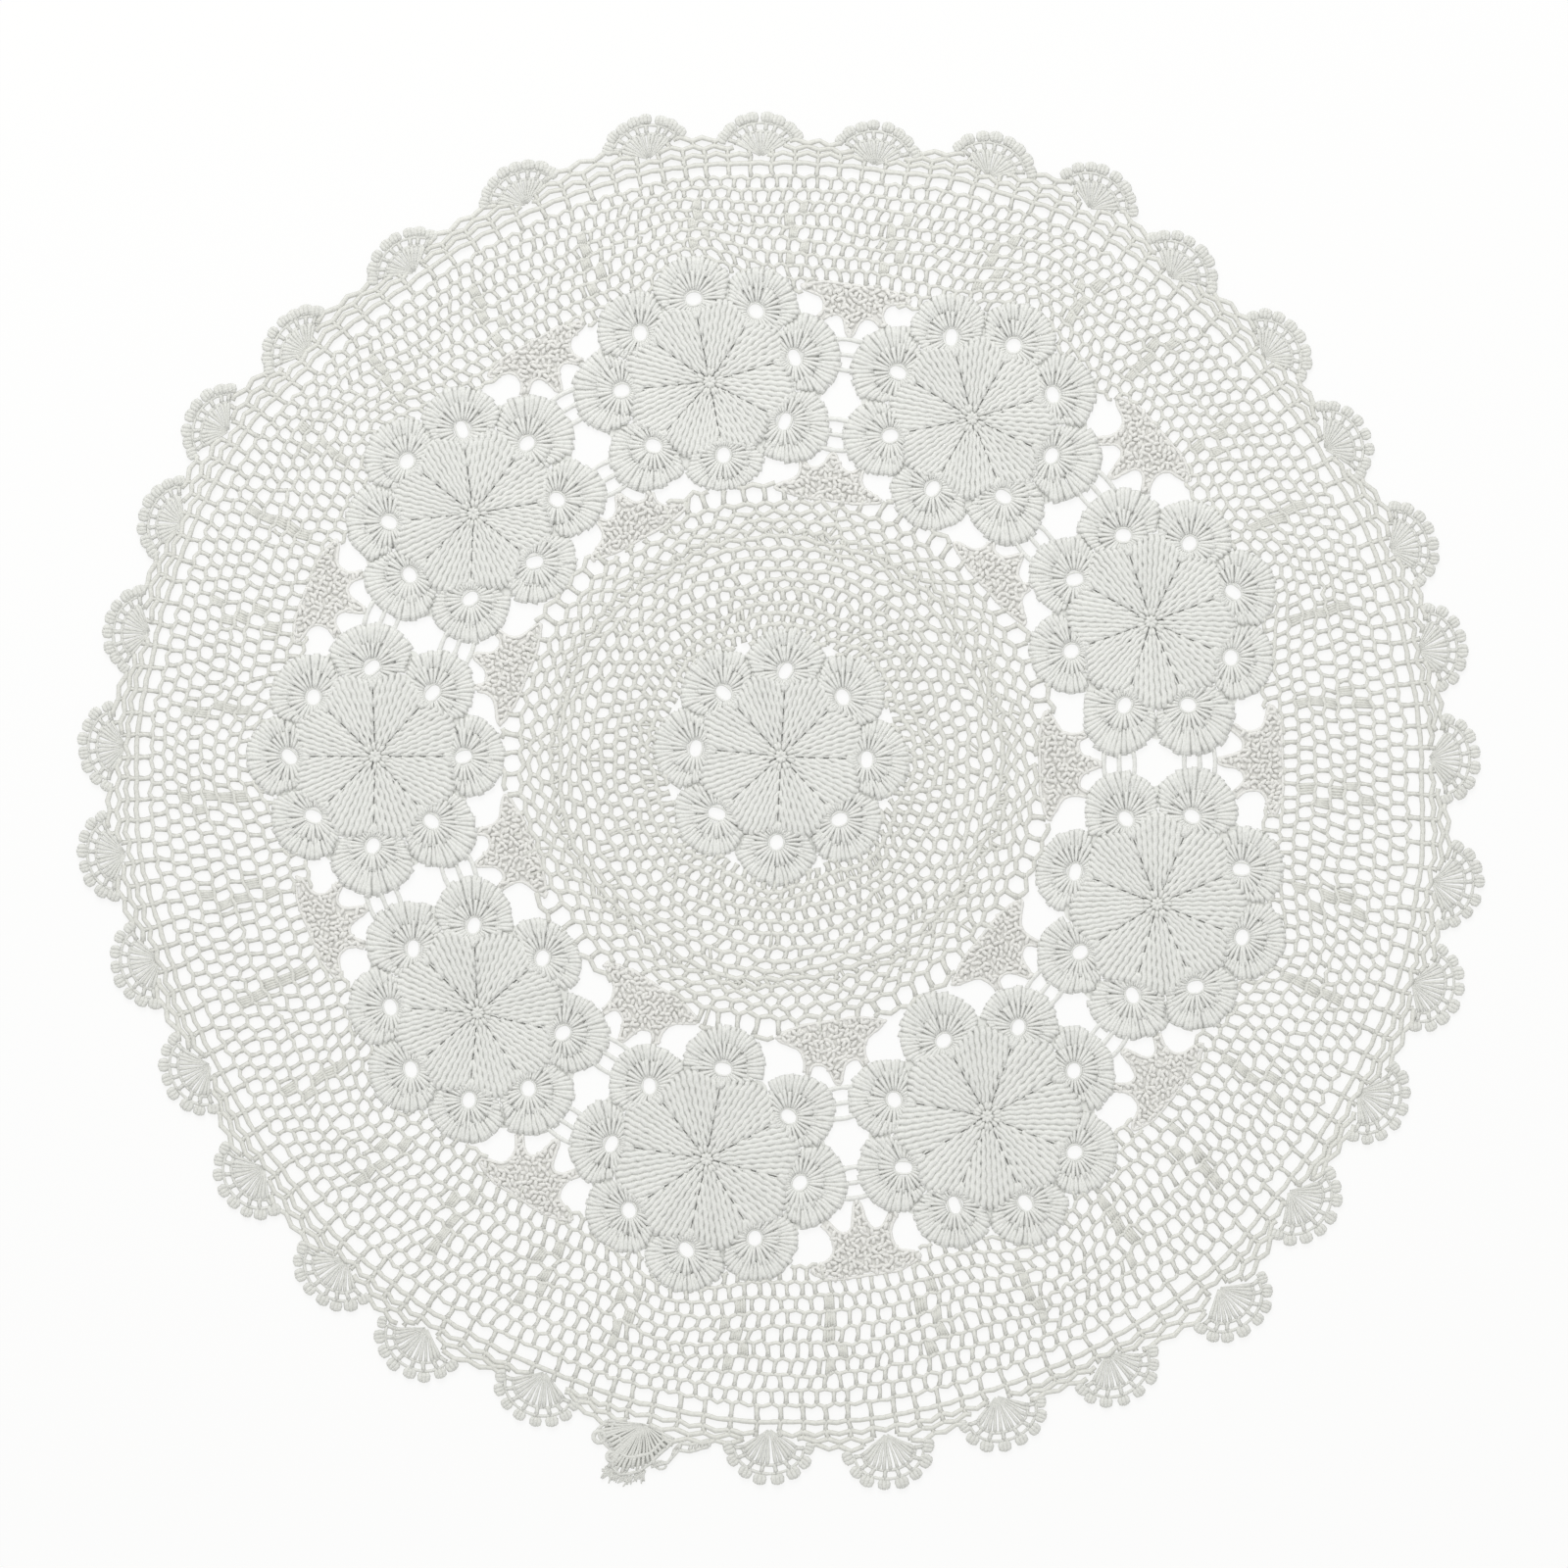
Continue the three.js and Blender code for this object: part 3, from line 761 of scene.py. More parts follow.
    def _work_ladders(self, yarn: YarnMesh) -> None:
        """Works the bars that join the flower to the next one."""
        way = heading(self.join.outwards)
        share = np.linspace(-0.5, 0.5, 6)
        for place in (self.join.outer, self.join.inner):
            for rung in (-1, 0, 1):
                bow = rung * 0.9 * np.cos(np.pi * share)
                length = self.bar_length + self.bar_spread * abs(rung)
                path = place + way * (rung * self.bar_pitch + bow) - 1j * way * length * share
                yarn.strands(path, 1.25, self.bar_yarn + 0.15 * yarn.dice.uniform(-1, 1, 6))


@dataclass
class Filler:
    """A filler: a wedge of knotted stitches with a corded edge."""

    outline: np.ndarray
    angle: float
    flowers: tuple[FlowerPlan, ...]
    seed: int
    knot_pitch: float = 3.0
    knot_length: float = 4.5
    knot_yarn: float = 1.2
    half_rows: int = 40
    ground_share: float = 0.93

    def build(self) -> YarnMesh:
        """Works the whole filler."""
        yarn = YarnMesh(self.seed)
        centre = self.outline.mean()
        trimmed = centre + (self.outline - centre) * self.ground_share
        # The ground under the knots is tinted darker: painted shade between them.
        yarn.ground(trimmed, 0.3, 1.1, FILLER_SHADE_TINT)
        self._work_cord(yarn)
        self._work_knots(yarn)
        return yarn

    def _clear(self, places: np.ndarray, grow: float) -> np.ndarray:
        """Tells which places lie outside the flowers beside the filler."""
        return ~np.any([flower.holds(places, grow) for flower in self.flowers], 0)

    def _work_cord(self, yarn: YarnMesh) -> None:
        """Works the cord along the filler's edge, where no flower covers it."""
        step = np.abs(np.roll(self.outline, -1) - self.outline)
        at = np.concatenate([[0], np.cumsum(step)])
        loop = np.append(self.outline, self.outline[0])
        along = np.linspace(0, at[-1], round(at[-1] / 2.2), endpoint=False)
        path = np.interp(along, at, loop.real) + 1j * np.interp(along, at, loop.imag)
        for _ in range(2):
            path = (np.roll(path, 1) + 2 * path + np.roll(path, -1)) / 4
        way = np.roll(path, -1) - np.roll(path, 1)
        inwards = 1j * way / np.abs(way)
        if not within(path[:1] + 0.5 * inwards[:1], self.outline)[0]:
            inwards = -inwards
        path = path + 0.4 * inwards
        for run in runs(self._clear(path, -0.8)):
            yarn.strands(path[run], 1.25, yarn.dice.uniform(0.8, 1.3, len(run)), flat=0.8)

    def _work_knots(self, yarn: YarnMesh) -> None:
        """Works the knots, in a rough basket of short stitches."""
        row = np.arange(-self.half_rows, self.half_rows + 1)
        across, along = np.meshgrid(row * self.knot_pitch, row * self.knot_pitch)
        along = along + self.knot_pitch / 2 * (row % 2)
        places = self.outline.mean() + heading(self.angle) * (along + 1j * across)
        shift = yarn.dice.uniform(-0.75, 0.75, (2, *places.shape))
        places = places + shift[0] + 1j * shift[1]
        inside = self._clear(places, 0.4)
        for turn in np.arange(0, FULL_TURN, 60):
            inside &= within(places + heading(turn), self.outline)
        basket = (np.add.outer(row, row) % 2) * 90.0
        lie = self.angle + basket + yarn.dice.uniform(-55, 55, places.shape)
        places, way = places[inside], heading(lie[inside])
        half = self.knot_length / 2 * yarn.dice.uniform(0.8, 1.25, places.shape)
        path = places[:, None] + (way * half)[:, None] * np.array((-1, -0.4, 0.4, 1))
        lift = 1.35 + yarn.dice.uniform(-0.25, 0.35, places.shape)
        height = lift[:, None] + np.array((-0.5, 0.25, 0.25, -0.5))
        yarn.strands(path, height, np.array((0.6, 1, 1, 0.6)) * self.knot_yarn)


@dataclass(frozen=True)
class Band:
    """A band of net with one number of cells in each row, from its first cord to its last."""

    cells: int
    first: int
    last: int
    zigzag: float = 0.75


class BrickNet:
    """A net of cords that run round the cloth and posts between them."""

    def __init__(self, yarn: YarnMesh, nodes: np.ndarray, posts: np.ndarray, keep: Callable) -> None:
        """Takes the yarn to work with, a grid of places, which have a post inwards, and a test of places."""
        self.yarn, self.nodes, self.posts, self.keep = yarn, nodes, posts, keep
        self.heights = 1.45 + yarn.dice.uniform(-0.15, 0.2, nodes.shape)

    @classmethod
    def laid(cls, yarn: YarnMesh, band: Band, reach: Callable, loose: float, keep: Callable) -> "BrickNet":
        """Lays a band of net like bricks, each post over the middle of a cell.

        Args:
            yarn: The yarn to work with.
            band: The band's cells and rows.
            reach: Gives how far from the hub a row lies, from directions and the row.
            loose: How uneven the net is.
            keep: Tells which places stay.

        Returns:
            The net.
        """
        column, rows = np.arange(2 * band.cells), band.last - band.first
        nodes = np.zeros((rows + 1, len(column)), complex)
        posts = np.zeros((rows, len(column)), bool)
        drift = np.cumsum(yarn.dice.uniform(-0.3, 0.3, rows + 1))
        for row in range(rows + 1):
            sway = drift[row] + yarn.dice.normal(0, 0.16 * loose, len(column))
            angle = (column + sway) * FULL_TURN / len(column)
            foot = (column + row) % 2 == 0
            zigzag = np.where(foot, -band.zigzag, band.zigzag)
            zigzag = zigzag + yarn.dice.normal(0, 0.45 * loose, len(column))
            nodes[row] = (reach(angle, band.first + row) + zigzag) * heading(angle)
            if row:
                posts[row - 1] = foot
        return cls(yarn, nodes, posts, keep)

    @staticmethod
    def finer(values: np.ndarray) -> np.ndarray:
        """Adds a smooth place half-way between each two places of a closed row."""
        before, after, next_one = np.roll(values, 1), np.roll(values, -1), np.roll(values, -2)
        halves = (9 * (values + after) - before - next_one) / 16
        return np.stack([values, halves], -1).ravel()

    def work_cords(self, rows: Any, radius: float) -> None:
        """Works the cords of some rows, where they are kept."""
        for row in rows:
            path, height = self.finer(self.nodes[row]), self.finer(self.heights[row])
            kept = self.keep(path)
            for run in runs(kept):
                width = radius * self.yarn.dice.uniform(0.9, 1.1, len(run))
                self.yarn.strands(path[run], height[run], width, closed=bool(kept.all()), flat=0.8)

    def work_posts(self, radius: float) -> None:
        """Works the posts, from each row to the row inside it."""
        row, column = np.nonzero(self.posts)
        foot, top = self.nodes[row, column], self.nodes[row + 1, column]
        kept = self.keep(foot) | self.keep(top)
        row, column, foot, top = row[kept], column[kept], foot[kept], top[kept]
        bow = 1j * (top - foot) * self.yarn.dice.uniform(-0.07, 0.07, foot.shape)
        path = rungs(foot, top, bow)
        low, high = self.heights[row, column], self.heights[row + 1, column]
        height = np.stack([low, np.full(row.shape, 1.3), high], -1)
        width = radius * self.yarn.dice.uniform(0.88, 1.1, (len(row), 1)) * np.array((1.25, 0.92, 1.25))
        self.yarn.strands(path, height, width, sides=4, flat=0.7)

    def work_clumps(self, shares: np.ndarray, radius: float) -> None:
        """Works extra posts in a share of each row's cells, where stitches have drawn together."""
        row, column = np.nonzero(self.yarn.dice.uniform(size=self.posts.shape) < shares[:, None])
        slant = self.yarn.dice.uniform(-0.5, 0.5, (2, len(row)))
        foot, top = self.at(row, column + slant[0]), self.at(row + 1, column + slant[1])
        kept = self.keep(foot) & self.keep(top)
        path = rungs(foot, top)[kept]
        width = radius * self.yarn.dice.uniform(0.8, 1.25, (len(path), 1)) * np.array((1.1, 0.95, 1.1))
        self.yarn.strands(path, (1.35, 1.5, 1.35), width, sides=4)

    def at(self, row: Any, column: np.ndarray) -> np.ndarray:
        """Gives the places on a row, or on several, at columns between its own."""
        low = np.floor(column).astype(int)
        share = column - low
        count = self.nodes.shape[1]
        return self.nodes[row, low % count] * (1 - share) + self.nodes[row, (low + 1) % count] * share


@dataclass
class Edge:
    """The cloth's rim: how far the fan tips reach and how deep the edging below them is."""

    sway: float = 0.11
    deepest: float = 285.0
    usual: float = 0.97
    valley: float = 19.2
    valley_sway: float = 4.0

    def tip(self, angle: np.ndarray) -> np.ndarray:
        """Gives the reach of the fan tips, eased from fan to fan."""
        return eased(angle, FAN_TURNS, FAN_TIPS)

    def scale(self, angle: np.ndarray) -> np.ndarray:
        """Gives how deep the edging is, as a share of its usual depth."""
        return self.usual + self.sway * np.cos(np.radians(angle - self.deepest))

    def ring(self, angle: np.ndarray, depth: float) -> np.ndarray:
        """Gives the reach of a row of the edging, by its depth below the fan tips, evened from fan to fan."""
        evened = (np.roll(FAN_TIPS, 1) + 2 * FAN_TIPS + np.roll(FAN_TIPS, -1)) / 4
        return eased(angle, FAN_TURNS, evened) - depth * self.scale(angle)

    def valley_depth(self, angle: Any) -> Any:
        """Gives how deep the cloth's rim dips between two fans."""
        return self.valley + self.valley_sway * np.cos(np.radians(angle - self.deepest))


@dataclass
class OuterNet:
    """The net outside the ring of flowers, with its blocks of extra stitches."""

    cloth: ClothPlan
    edge: Edge
    seed: int = 71
    bands: tuple[Band, ...] = (Band(234, -1, 4), Band(262, 4, 8))
    rows: int = 8
    end_depth: float = 45.0
    cord: float = 1.2
    post: float = 1.25
    crest_half_width: float = 10.5
    crest_overlap: float = 2.0
    crest_twist: float = 0.3
    stray: float = 0.9
    block_turn: float = -3.8

    def start(self, angle: np.ndarray) -> np.ndarray:
        """Finds where the net starts: on the filler bases, rising over each outward petal.

        Args:
            angle: The directions.

        Returns:
            The net's start in each direction.
        """
        joined = [join.outwards for join in self.cloth.joins]
        base = eased(angle, joined, [flower.filler for flower in RING_FLOWERS])
        for flower in RING_FLOWERS:
            off = angle - flower.angle - flower.twist * self.crest_twist
            off = (off + FULL_TURN / 2) % FULL_TURN - FULL_TURN / 2
            crest = flower.radius + flower.heart + self.cloth.petal_reach - self.crest_overlap
            share = np.clip(np.abs(off) / self.crest_half_width, 0, 1)
            base = base + (crest - base) * np.cos(share * np.pi / 2) ** 2
        return base

    def reach(self, angle: np.ndarray, row: int) -> np.ndarray:
        """Gives how far from the hub a row of the net lies."""
        low, high = self.start(angle), self.edge.ring(angle, self.end_depth)
        stray = self.stray * np.sin(np.pi * row / self.rows) * wander(angle, row, (19, 43))
        return low + (high - low) * row / self.rows + stray

    def build(self) -> YarnMesh:
        """Works the net's cords, posts and blocks."""
        yarn = YarnMesh(self.seed)
        for band in self.bands:
            net = BrickNet.laid(yarn, band, self.reach, NET_LOOSE, self._keep)
            last = band.last == self.rows
            net.work_cords(range(band.last - band.first + last), self.cord)
            net.work_posts(self.post)
            self._work_blocks(net, band)
        return yarn

    def _keep(self, places: np.ndarray) -> np.ndarray:
        """Tells which places lie clear of flowers and fillers."""
        return self.cloth.clear(places, NET_OVERLAP)

    def _work_blocks(self, net: BrickNet, band: Band) -> None:
        """Works the half cells that are filled with extra posts, in a zigzag line below each fan."""
        pitch = FULL_TURN / (2 * band.cells)
        first = max(2 - band.first, 1)
        stop = min(self.rows - 1, band.last + 1) - band.first
        for fan in FANS:
            middle = (fan.angle + self.block_turn) / pitch
            for row in range(first, stop):
                near = 2 * round((middle - row % 2) / 2) + row % 2
                side = 1 if row % 2 else -1
                column = near + side * np.array((0.3, 0.6, 0.9))
                path = rungs(net.at(row - 1, column), net.at(row, column))
                net.yarn.strands(path, (1.25, 1.4, 1.25), 1.1, sides=4)


@dataclass
class InnerNet:
    """The net between the centre flower and the ring of flowers."""

    cloth: ClothPlan
    seed: int = 72
    bands: tuple[Band, ...] = (Band(72, 0, 10), Band(84, 10, 14, 1.2))
    reaches: tuple[float, ...] = (
        *(68.5, 74.8, 81, 87.6, 94.4, 101.4, 108.4, 115, 121.2),
        *(126.4, 130.8, 136, 141.4, 147.4, 158.3),
    )
    sway: float = 2.5
    least: float = 55.0
    petal_sway: float = 2.2
    petal_rows: int = 5
    stray: float = 0.8
    gap_reach: float = 66.5
    gap: float = 3.9
    close_row: int = 9
    close: float = 0.75
    clumped: float = 0.06
    cords: tuple[float, float] = (1.6, 1.5)

    def reach(self, angle: np.ndarray, row: int) -> np.ndarray:
        """Finds how far from the hub a row of the net lies.

        Args:
            angle: The directions.
            row: The row, of which the first follow the petals of the centre flower.

        Returns:
            The row's distance in each direction.
        """
        turns, count = self.cloth.centre_turns, len(self.cloth.centre_turns)
        petal = eased(angle, [*turns, *self._valleys()], [1.0] * count + [-1.0] * count)
        lean = self.sway * np.cos(np.radians(angle - self.least)) * row / len(self.reaches)
        petal = self.petal_sway * max(0, 1 - row / self.petal_rows) * petal
        return self.reaches[row] - lean + petal + self.stray * wander(angle, row, (7, 17))

    def _valleys(self) -> list[float]:
        """Gives the directions of the valleys of the centre flower."""
        return [self.cloth.centre.valley(index) for index in range(len(self.cloth.centre_turns))]

    def _keep(self, places: np.ndarray) -> np.ndarray:
        """Tells which places lie clear of flowers, fillers and the gaps in the centre flower's valleys."""
        gaps = self.gap_reach * heading(np.array(self._valleys()))
        apart = np.abs(places[..., None] - gaps).min(-1)
        return self.cloth.clear(places, NET_OVERLAP) & (apart > self.gap)

    def build(self) -> YarnMesh:
        """Works the net's cords and posts, with one row of close stitches."""
        yarn = YarnMesh(self.seed)
        for band, cord in zip(self.bands, self.cords):
            net = BrickNet.laid(yarn, band, self.reach, NET_LOOSE, self._keep)
            rows = np.arange(band.first, band.last)
            net.work_cords(range(len(rows) + (band is self.bands[-1])), cord)
            net.work_posts(cord)
            net.work_clumps(np.where(rows == self.close_row, self.close, self.clumped), 1.0)
        return yarn


@dataclass
class Edging:
    """The edging: two rows of loops, small loops between the fans, and the fans with their picots."""

    edge: Edge
    seed: int = 73
    loops_per_fan: int = 5
    depths: tuple[float, ...] = (45.0, 36.0, 30.0)
    cusps: tuple[float, ...] = (0.0, 0.3, 1.1, 1.1, 1.1)
    rim_inset: float = 1.4
    cord: float = 1.5
    post: float = 1.4
    fan_radius: float = 22.0
    fan_half_width: float = 26.5
    cords: tuple[float, float] = (11.4, 6.5)
    fan_foot: float = 2.0
    base_depth: float = 30.0
    spokes: int = 13
    picots: int = 8
    picot: float = 3.4
    frayed: float = 257.7
    frayed_foot: tuple[float, float] = (389.4, 258.4)

    def build(self) -> YarnMesh:
        """Works all the fans."""
        yarn = YarnMesh(self.seed)
        for fan in FANS:
            if fan.angle == self.frayed:
                self._work_frayed(yarn, fan)
            else:
                self._work_fan(yarn, fan)
        return yarn

    def _heart(self, fan: Fan) -> complex:
        """Gives the middle of a fan's round rim."""
        return (fan.tip - self.fan_radius) * heading(fan.angle)

    def _base(self, fan: Fan) -> complex:
        """Gives the foot of a fan, from which its stitches spread."""
        return (fan.tip - self.base_depth * self.edge.scale(fan.angle)) * heading(fan.angle)

    def _sweep(self, fan: Fan) -> float:
        """Gives how far a fan's rim turns to either side."""
        drop = self.edge.valley_depth(fan.angle) - self.fan_foot
        return float(np.degrees(np.arccos(1 - drop / self.fan_radius)))

    def _rim(self, fan: Fan, turn: Any, inset: float) -> Any:
        """Gives places along a fan's round rim, set in from it."""
        bend = np.radians(turn)
        out = (self.fan_radius - inset) * np.cos(bend)
        across = (self.fan_half_width - inset) * np.sin(bend)
        return self._heart(fan) + heading(fan.angle) * (out + 1j * across)

    def _between_fans(self, places: np.ndarray) -> np.ndarray:
        """Tells which places lie outside the solid part of every fan."""
        free = np.ones(places.shape, bool)
        for fan in FANS:
            base, axis = self._base(fan), np.conj(heading(fan.angle))
            away = (places - base) * axis
            side = abs(bearing((self._rim(fan, self._sweep(fan), 3.0) - base) * axis))
            free &= (np.abs(bearing(away)) > side) | (np.abs(away) < 2)
        return free

    def work_loops(self, yarn: YarnMesh) -> None:
        """Works the rows of loops below and between the fans, onto the net."""
        share = np.arange(2 * self.loops_per_fan) / (2 * self.loops_per_fan)
        spans = (np.roll(FAN_TURNS, -1) - FAN_TURNS) % FULL_TURN
        angle = (FAN_TURNS[:, None] + share * spans[:, None]).ravel()
        column, rows = np.arange(len(angle)), len(self.cusps)
        nodes = np.zeros((rows, len(angle)), complex)
        posts = np.zeros((rows - 1, len(angle)), bool)
        last = self.edge.ring(angle, self.depths[-1])
        rim = self.edge.tip(angle) - self.edge.valley_depth(angle) - self.rim_inset
        for row, cusp in enumerate(self.cusps):
            inside = row < len(self.depths)
            share = (row - len(self.depths) + 1) / (rows - len(self.depths))
            jitter = yarn.dice.normal(0, 0.06, len(angle))
            foot = column % 2 == (1 if inside else row % 2)
            reach = self.edge.ring(angle, self.depths[row]) if inside else last + (rim - last) * share
            reach = reach + np.where(foot, -cusp, cusp) + yarn.dice.normal(0, 0.25, len(angle))
            nodes[row] = reach * heading(angle + jitter)
            if row:
                posts[row - 1] = foot
        net = BrickNet(yarn, nodes, posts, self._between_fans)
        net.work_cords(range(1, rows), self.cord)
        net.work_posts(self.post)

    def _work_fan(self, yarn: YarnMesh, fan: Fan) -> None:
        """Works one fan: stitches that spread from its foot, two cords with posts between, and the picots."""
        dice, sweep = yarn.dice, self._sweep(fan)
        ends = self._rim(fan, spread(dice, sweep, self.spokes, 2.0), self.cords[0] - 0.4)
        self._work_spokes(yarn, self._base(fan), ends)
        bend = np.linspace(-sweep, sweep, 20)
        for inset in self.cords:
            yarn.strands(self._rim(fan, bend, inset), 1.5, dice.uniform(0.8, 1.1, len(bend)))
        turn = spread(dice, sweep, self.picots, 2.0)
        near, far = self.cords
        path = np.stack([self._rim(fan, turn, inset) for inset in (near, (near + far) / 2, far)], -1)
        yarn.strands(path, 1.5, (1.5, 1.15, 1.5), sides=4)
        self._work_picots(yarn, fan, turn)

    def _work_picots(self, yarn: YarnMesh, fan: Fan, turn: np.ndarray) -> None:
        """Works the picots along a fan's rim, each a knot of three stitches."""
        size = self.picot * yarn.dice.uniform(0.92, 1.1, len(turn))
        place = self._rim(fan, turn, self.picot - 0.5 + yarn.dice.uniform(-0.5, 0.4, len(turn)))
        way = heading(fan.angle + 0.8 * turn) * size
        for side in (-1, 0, 1):
            along = np.array((-0.95, -0.35, 0.3, 0.78)) - abs(side) * np.array((0, 0, 0.06, 0.26))
            across = 1j * side * np.array((0.44, 0.68, 0.62, 0.3))
            width = size[:, None] * np.array((0.36, 0.47, 0.47, 0.32))
            yarn.strands(place[:, None] + way[:, None] * (along + across), 1.55, width, flat=0.85)

    @staticmethod
    def _work_spokes(yarn: YarnMesh, base: complex, ends: np.ndarray) -> None:
        """Works the stitches of a fan, from its foot to their ends."""
        share = np.array((0.05, 0.3, 0.55, 0.8, 1.0))
        sway = 1 + 1j * yarn.dice.normal(0, 0.012, (len(ends), len(share)))
        width = np.array((0.3, 0.52, 0.82, 1.12, 1.2)) * yarn.dice.uniform(0.88, 1.12, (len(ends), 1))
        yarn.strands(base + (ends - base)[:, None] * share * sway, (1.2, 1.5, 1.7, 1.7, 1.5), width, flat=0.8)

    def _work_frayed(self, yarn: YarnMesh, fan: Fan) -> None:
        """Works the one fan that has come undone along its end, with a loose loop and hanging ends."""
        dice, way = yarn.dice, heading(fan.angle)
        base = self.frayed_foot[0] * heading(self.frayed_foot[1])
        body, count = FRAYED_BODY, len(FRAYED_BODY)
        # The ground under the undone fan is tinted darker: painted shade between its loose stitches.
        yarn.ground(base + way * np.append(body * 0.84, 0), 0.4, 0.8, FRAYED_SHADE_TINT)
        ends = np.interp(np.linspace(0, count - 1, 25), np.arange(count), body)
        ends = ends * dice.uniform(0.82, 1.05, len(ends))
        self._work_spokes(yarn, base, base + way * ends)
        for share in (0.66, 0.9):
            arc = body * share * dice.uniform(0.91, 1.08, count)
            yarn.strands(base + way * arc, 1.6, dice.uniform(0.8, 1.3, count))
        turn = heading(np.arange(0, FULL_TURN, 30))
        for middle, size, thick in ((12.5 - 23.5j, 3.3, 1.4), (22 - 14j, 2.8, 1.3)):
            yarn.strands(base + way * (middle + size * turn), 1.6, thick, closed=True)
        yarn.strands(base + way * (21 + 14.2j + 2.3 * turn.real + 3.15j * turn.imag), 1.3, 0.75, closed=True)
        rim = FRAYED_STRIP[2:]
        inner = rim - 4.2 + 0.4j
        yarn.strands(base + way * FRAYED_STRIP, 1.5, 1.15)
        yarn.strands(base + way * inner, 1.5, 1.1)
        yarn.strands(base + way * rungs(inner, rim), 1.5, 1.2, sides=4)
        self._work_fringe(yarn, base, way)

    @staticmethod
    def _work_fringe(yarn: YarnMesh, base: complex, way: complex) -> None:
        """Works the clumps of loose ends along the undone end of a fan."""
        dice = yarn.dice
        clump = np.linspace(0, 1, 15) ** 1.3 + dice.normal(0, 0.03, 15)
        along = np.sort(np.repeat(clump, 6) + dice.normal(0, 0.02, 6 * len(clump)))
        start = np.interp(along, (0, 0.55, 1), (29.5 - 16j, 32.5 - 5j, 27 + 6j))
        start = start + dice.normal(0, 0.8, along.shape) + 1j * dice.normal(0, 0.5, along.shape)
        lie = heading(dice.uniform(-75, 60, along.shape)) * dice.uniform(1.5, 5.5, along.shape)
        bend = dice.uniform(-0.5, 0.5, (len(along), 1))
        share = np.linspace(0, 1, 5)
        path = start[:, None] + lie[:, None] * (share + 1j * bend * share**2)
        yarn.strands(base + way * path, 1.2, (0.8, 0.7, 0.6, 0.5, 0.3), sides=4, tint=1.0)


class Wire:
    """A socket whose value can be used in a Python expression."""

    def __init__(self, desk: "NodeDesk", socket: bpy.types.NodeSocket) -> None:
        """Keeps the socket and the desk that makes its nodes."""
        self.desk, self.socket = desk, socket

    def __add__(self, other: Any) -> "Wire":
        """Adds."""
        return self.desk.maths("ADD", self, other)

    def __radd__(self, other: Any) -> "Wire":
        """Adds to a number."""
        return self.desk.maths("ADD", other, self)

    def __sub__(self, other: Any) -> "Wire":
        """Subtracts."""
        return self.desk.maths("SUBTRACT", self, other)

    def __rsub__(self, other: Any) -> "Wire":
        """Subtracts from a number."""
        return self.desk.maths("SUBTRACT", other, self)

    def __mul__(self, other: Any) -> "Wire":
        """Multiplies."""
        return self.desk.maths("MULTIPLY", self, other)

    def __pow__(self, other: Any) -> "Wire":
        """Raises to a power."""
        return self.desk.maths("POWER", self, other)

    def __abs__(self) -> "Wire":
        """Drops the sign."""
        return self.desk.maths("ABSOLUTE", self)

    def sine(self) -> "Wire":
        """Takes the sine."""
        return self.desk.maths("SINE", self)


class NodeDesk:
    """Makes and links the nodes of one tree."""

    def __init__(self, tree: bpy.types.NodeTree) -> None:
        """Clears the tree to start with."""
        self.tree = tree
        tree.nodes.clear()

    @classmethod
    def of_material(cls, name: str) -> tuple[bpy.types.Material, "NodeDesk"]:
        """Starts a material, and gives it with the desk of its tree."""
        material = bpy.data.materials.new(name)
        material.use_nodes = True
        return material, cls(material.node_tree)

    def node(self, kind: str, settings: dict[str, Any], sockets: dict[Any, Any]) -> bpy.types.Node:
        """Makes a node.

        Args:
            kind: The node's type, without its prefix.
            settings: The node's own settings, which are set first.
            sockets: A value or a wire for each input, by name or number.

        Returns:
            The node.
        """
        node = self.tree.nodes.new("ShaderNode" + kind)
        for name, value in settings.items():
            setattr(node, name, value)
        for name, value in sockets.items():
            if isinstance(value, Wire):
                self.tree.links.new(value.socket, node.inputs[name])
            else:
                node.inputs[name].default_value = value
        return node

    def wire(self, kind: str, settings: dict[str, Any], sockets: dict[Any, Any], out: Any = 0) -> Wire:
        """Makes a node and gives one of its outputs."""
        return Wire(self, self.node(kind, settings, sockets).outputs[out])

    def maths(self, operation: str, *values: Any) -> Wire:
        """Makes a Math node on numbers and wires."""
        return self.wire("Math", {"operation": operation}, dict(enumerate(values)))

    def blend(self, factor: Any, first: Any, second: Any) -> Wire:
        """Mixes two colours."""
        sockets = {0: factor, 6: first, 7: second}
        return self.wire("Mix", {"data_type": "RGBA"}, sockets, 2)

    def surface(self, sockets: dict[Any, Any]) -> None:
        """Ends a material's tree with its shader."""
        shader = self.wire("BsdfPrincipled", {}, sockets)
        self.node("OutputMaterial", {}, {0: shader})


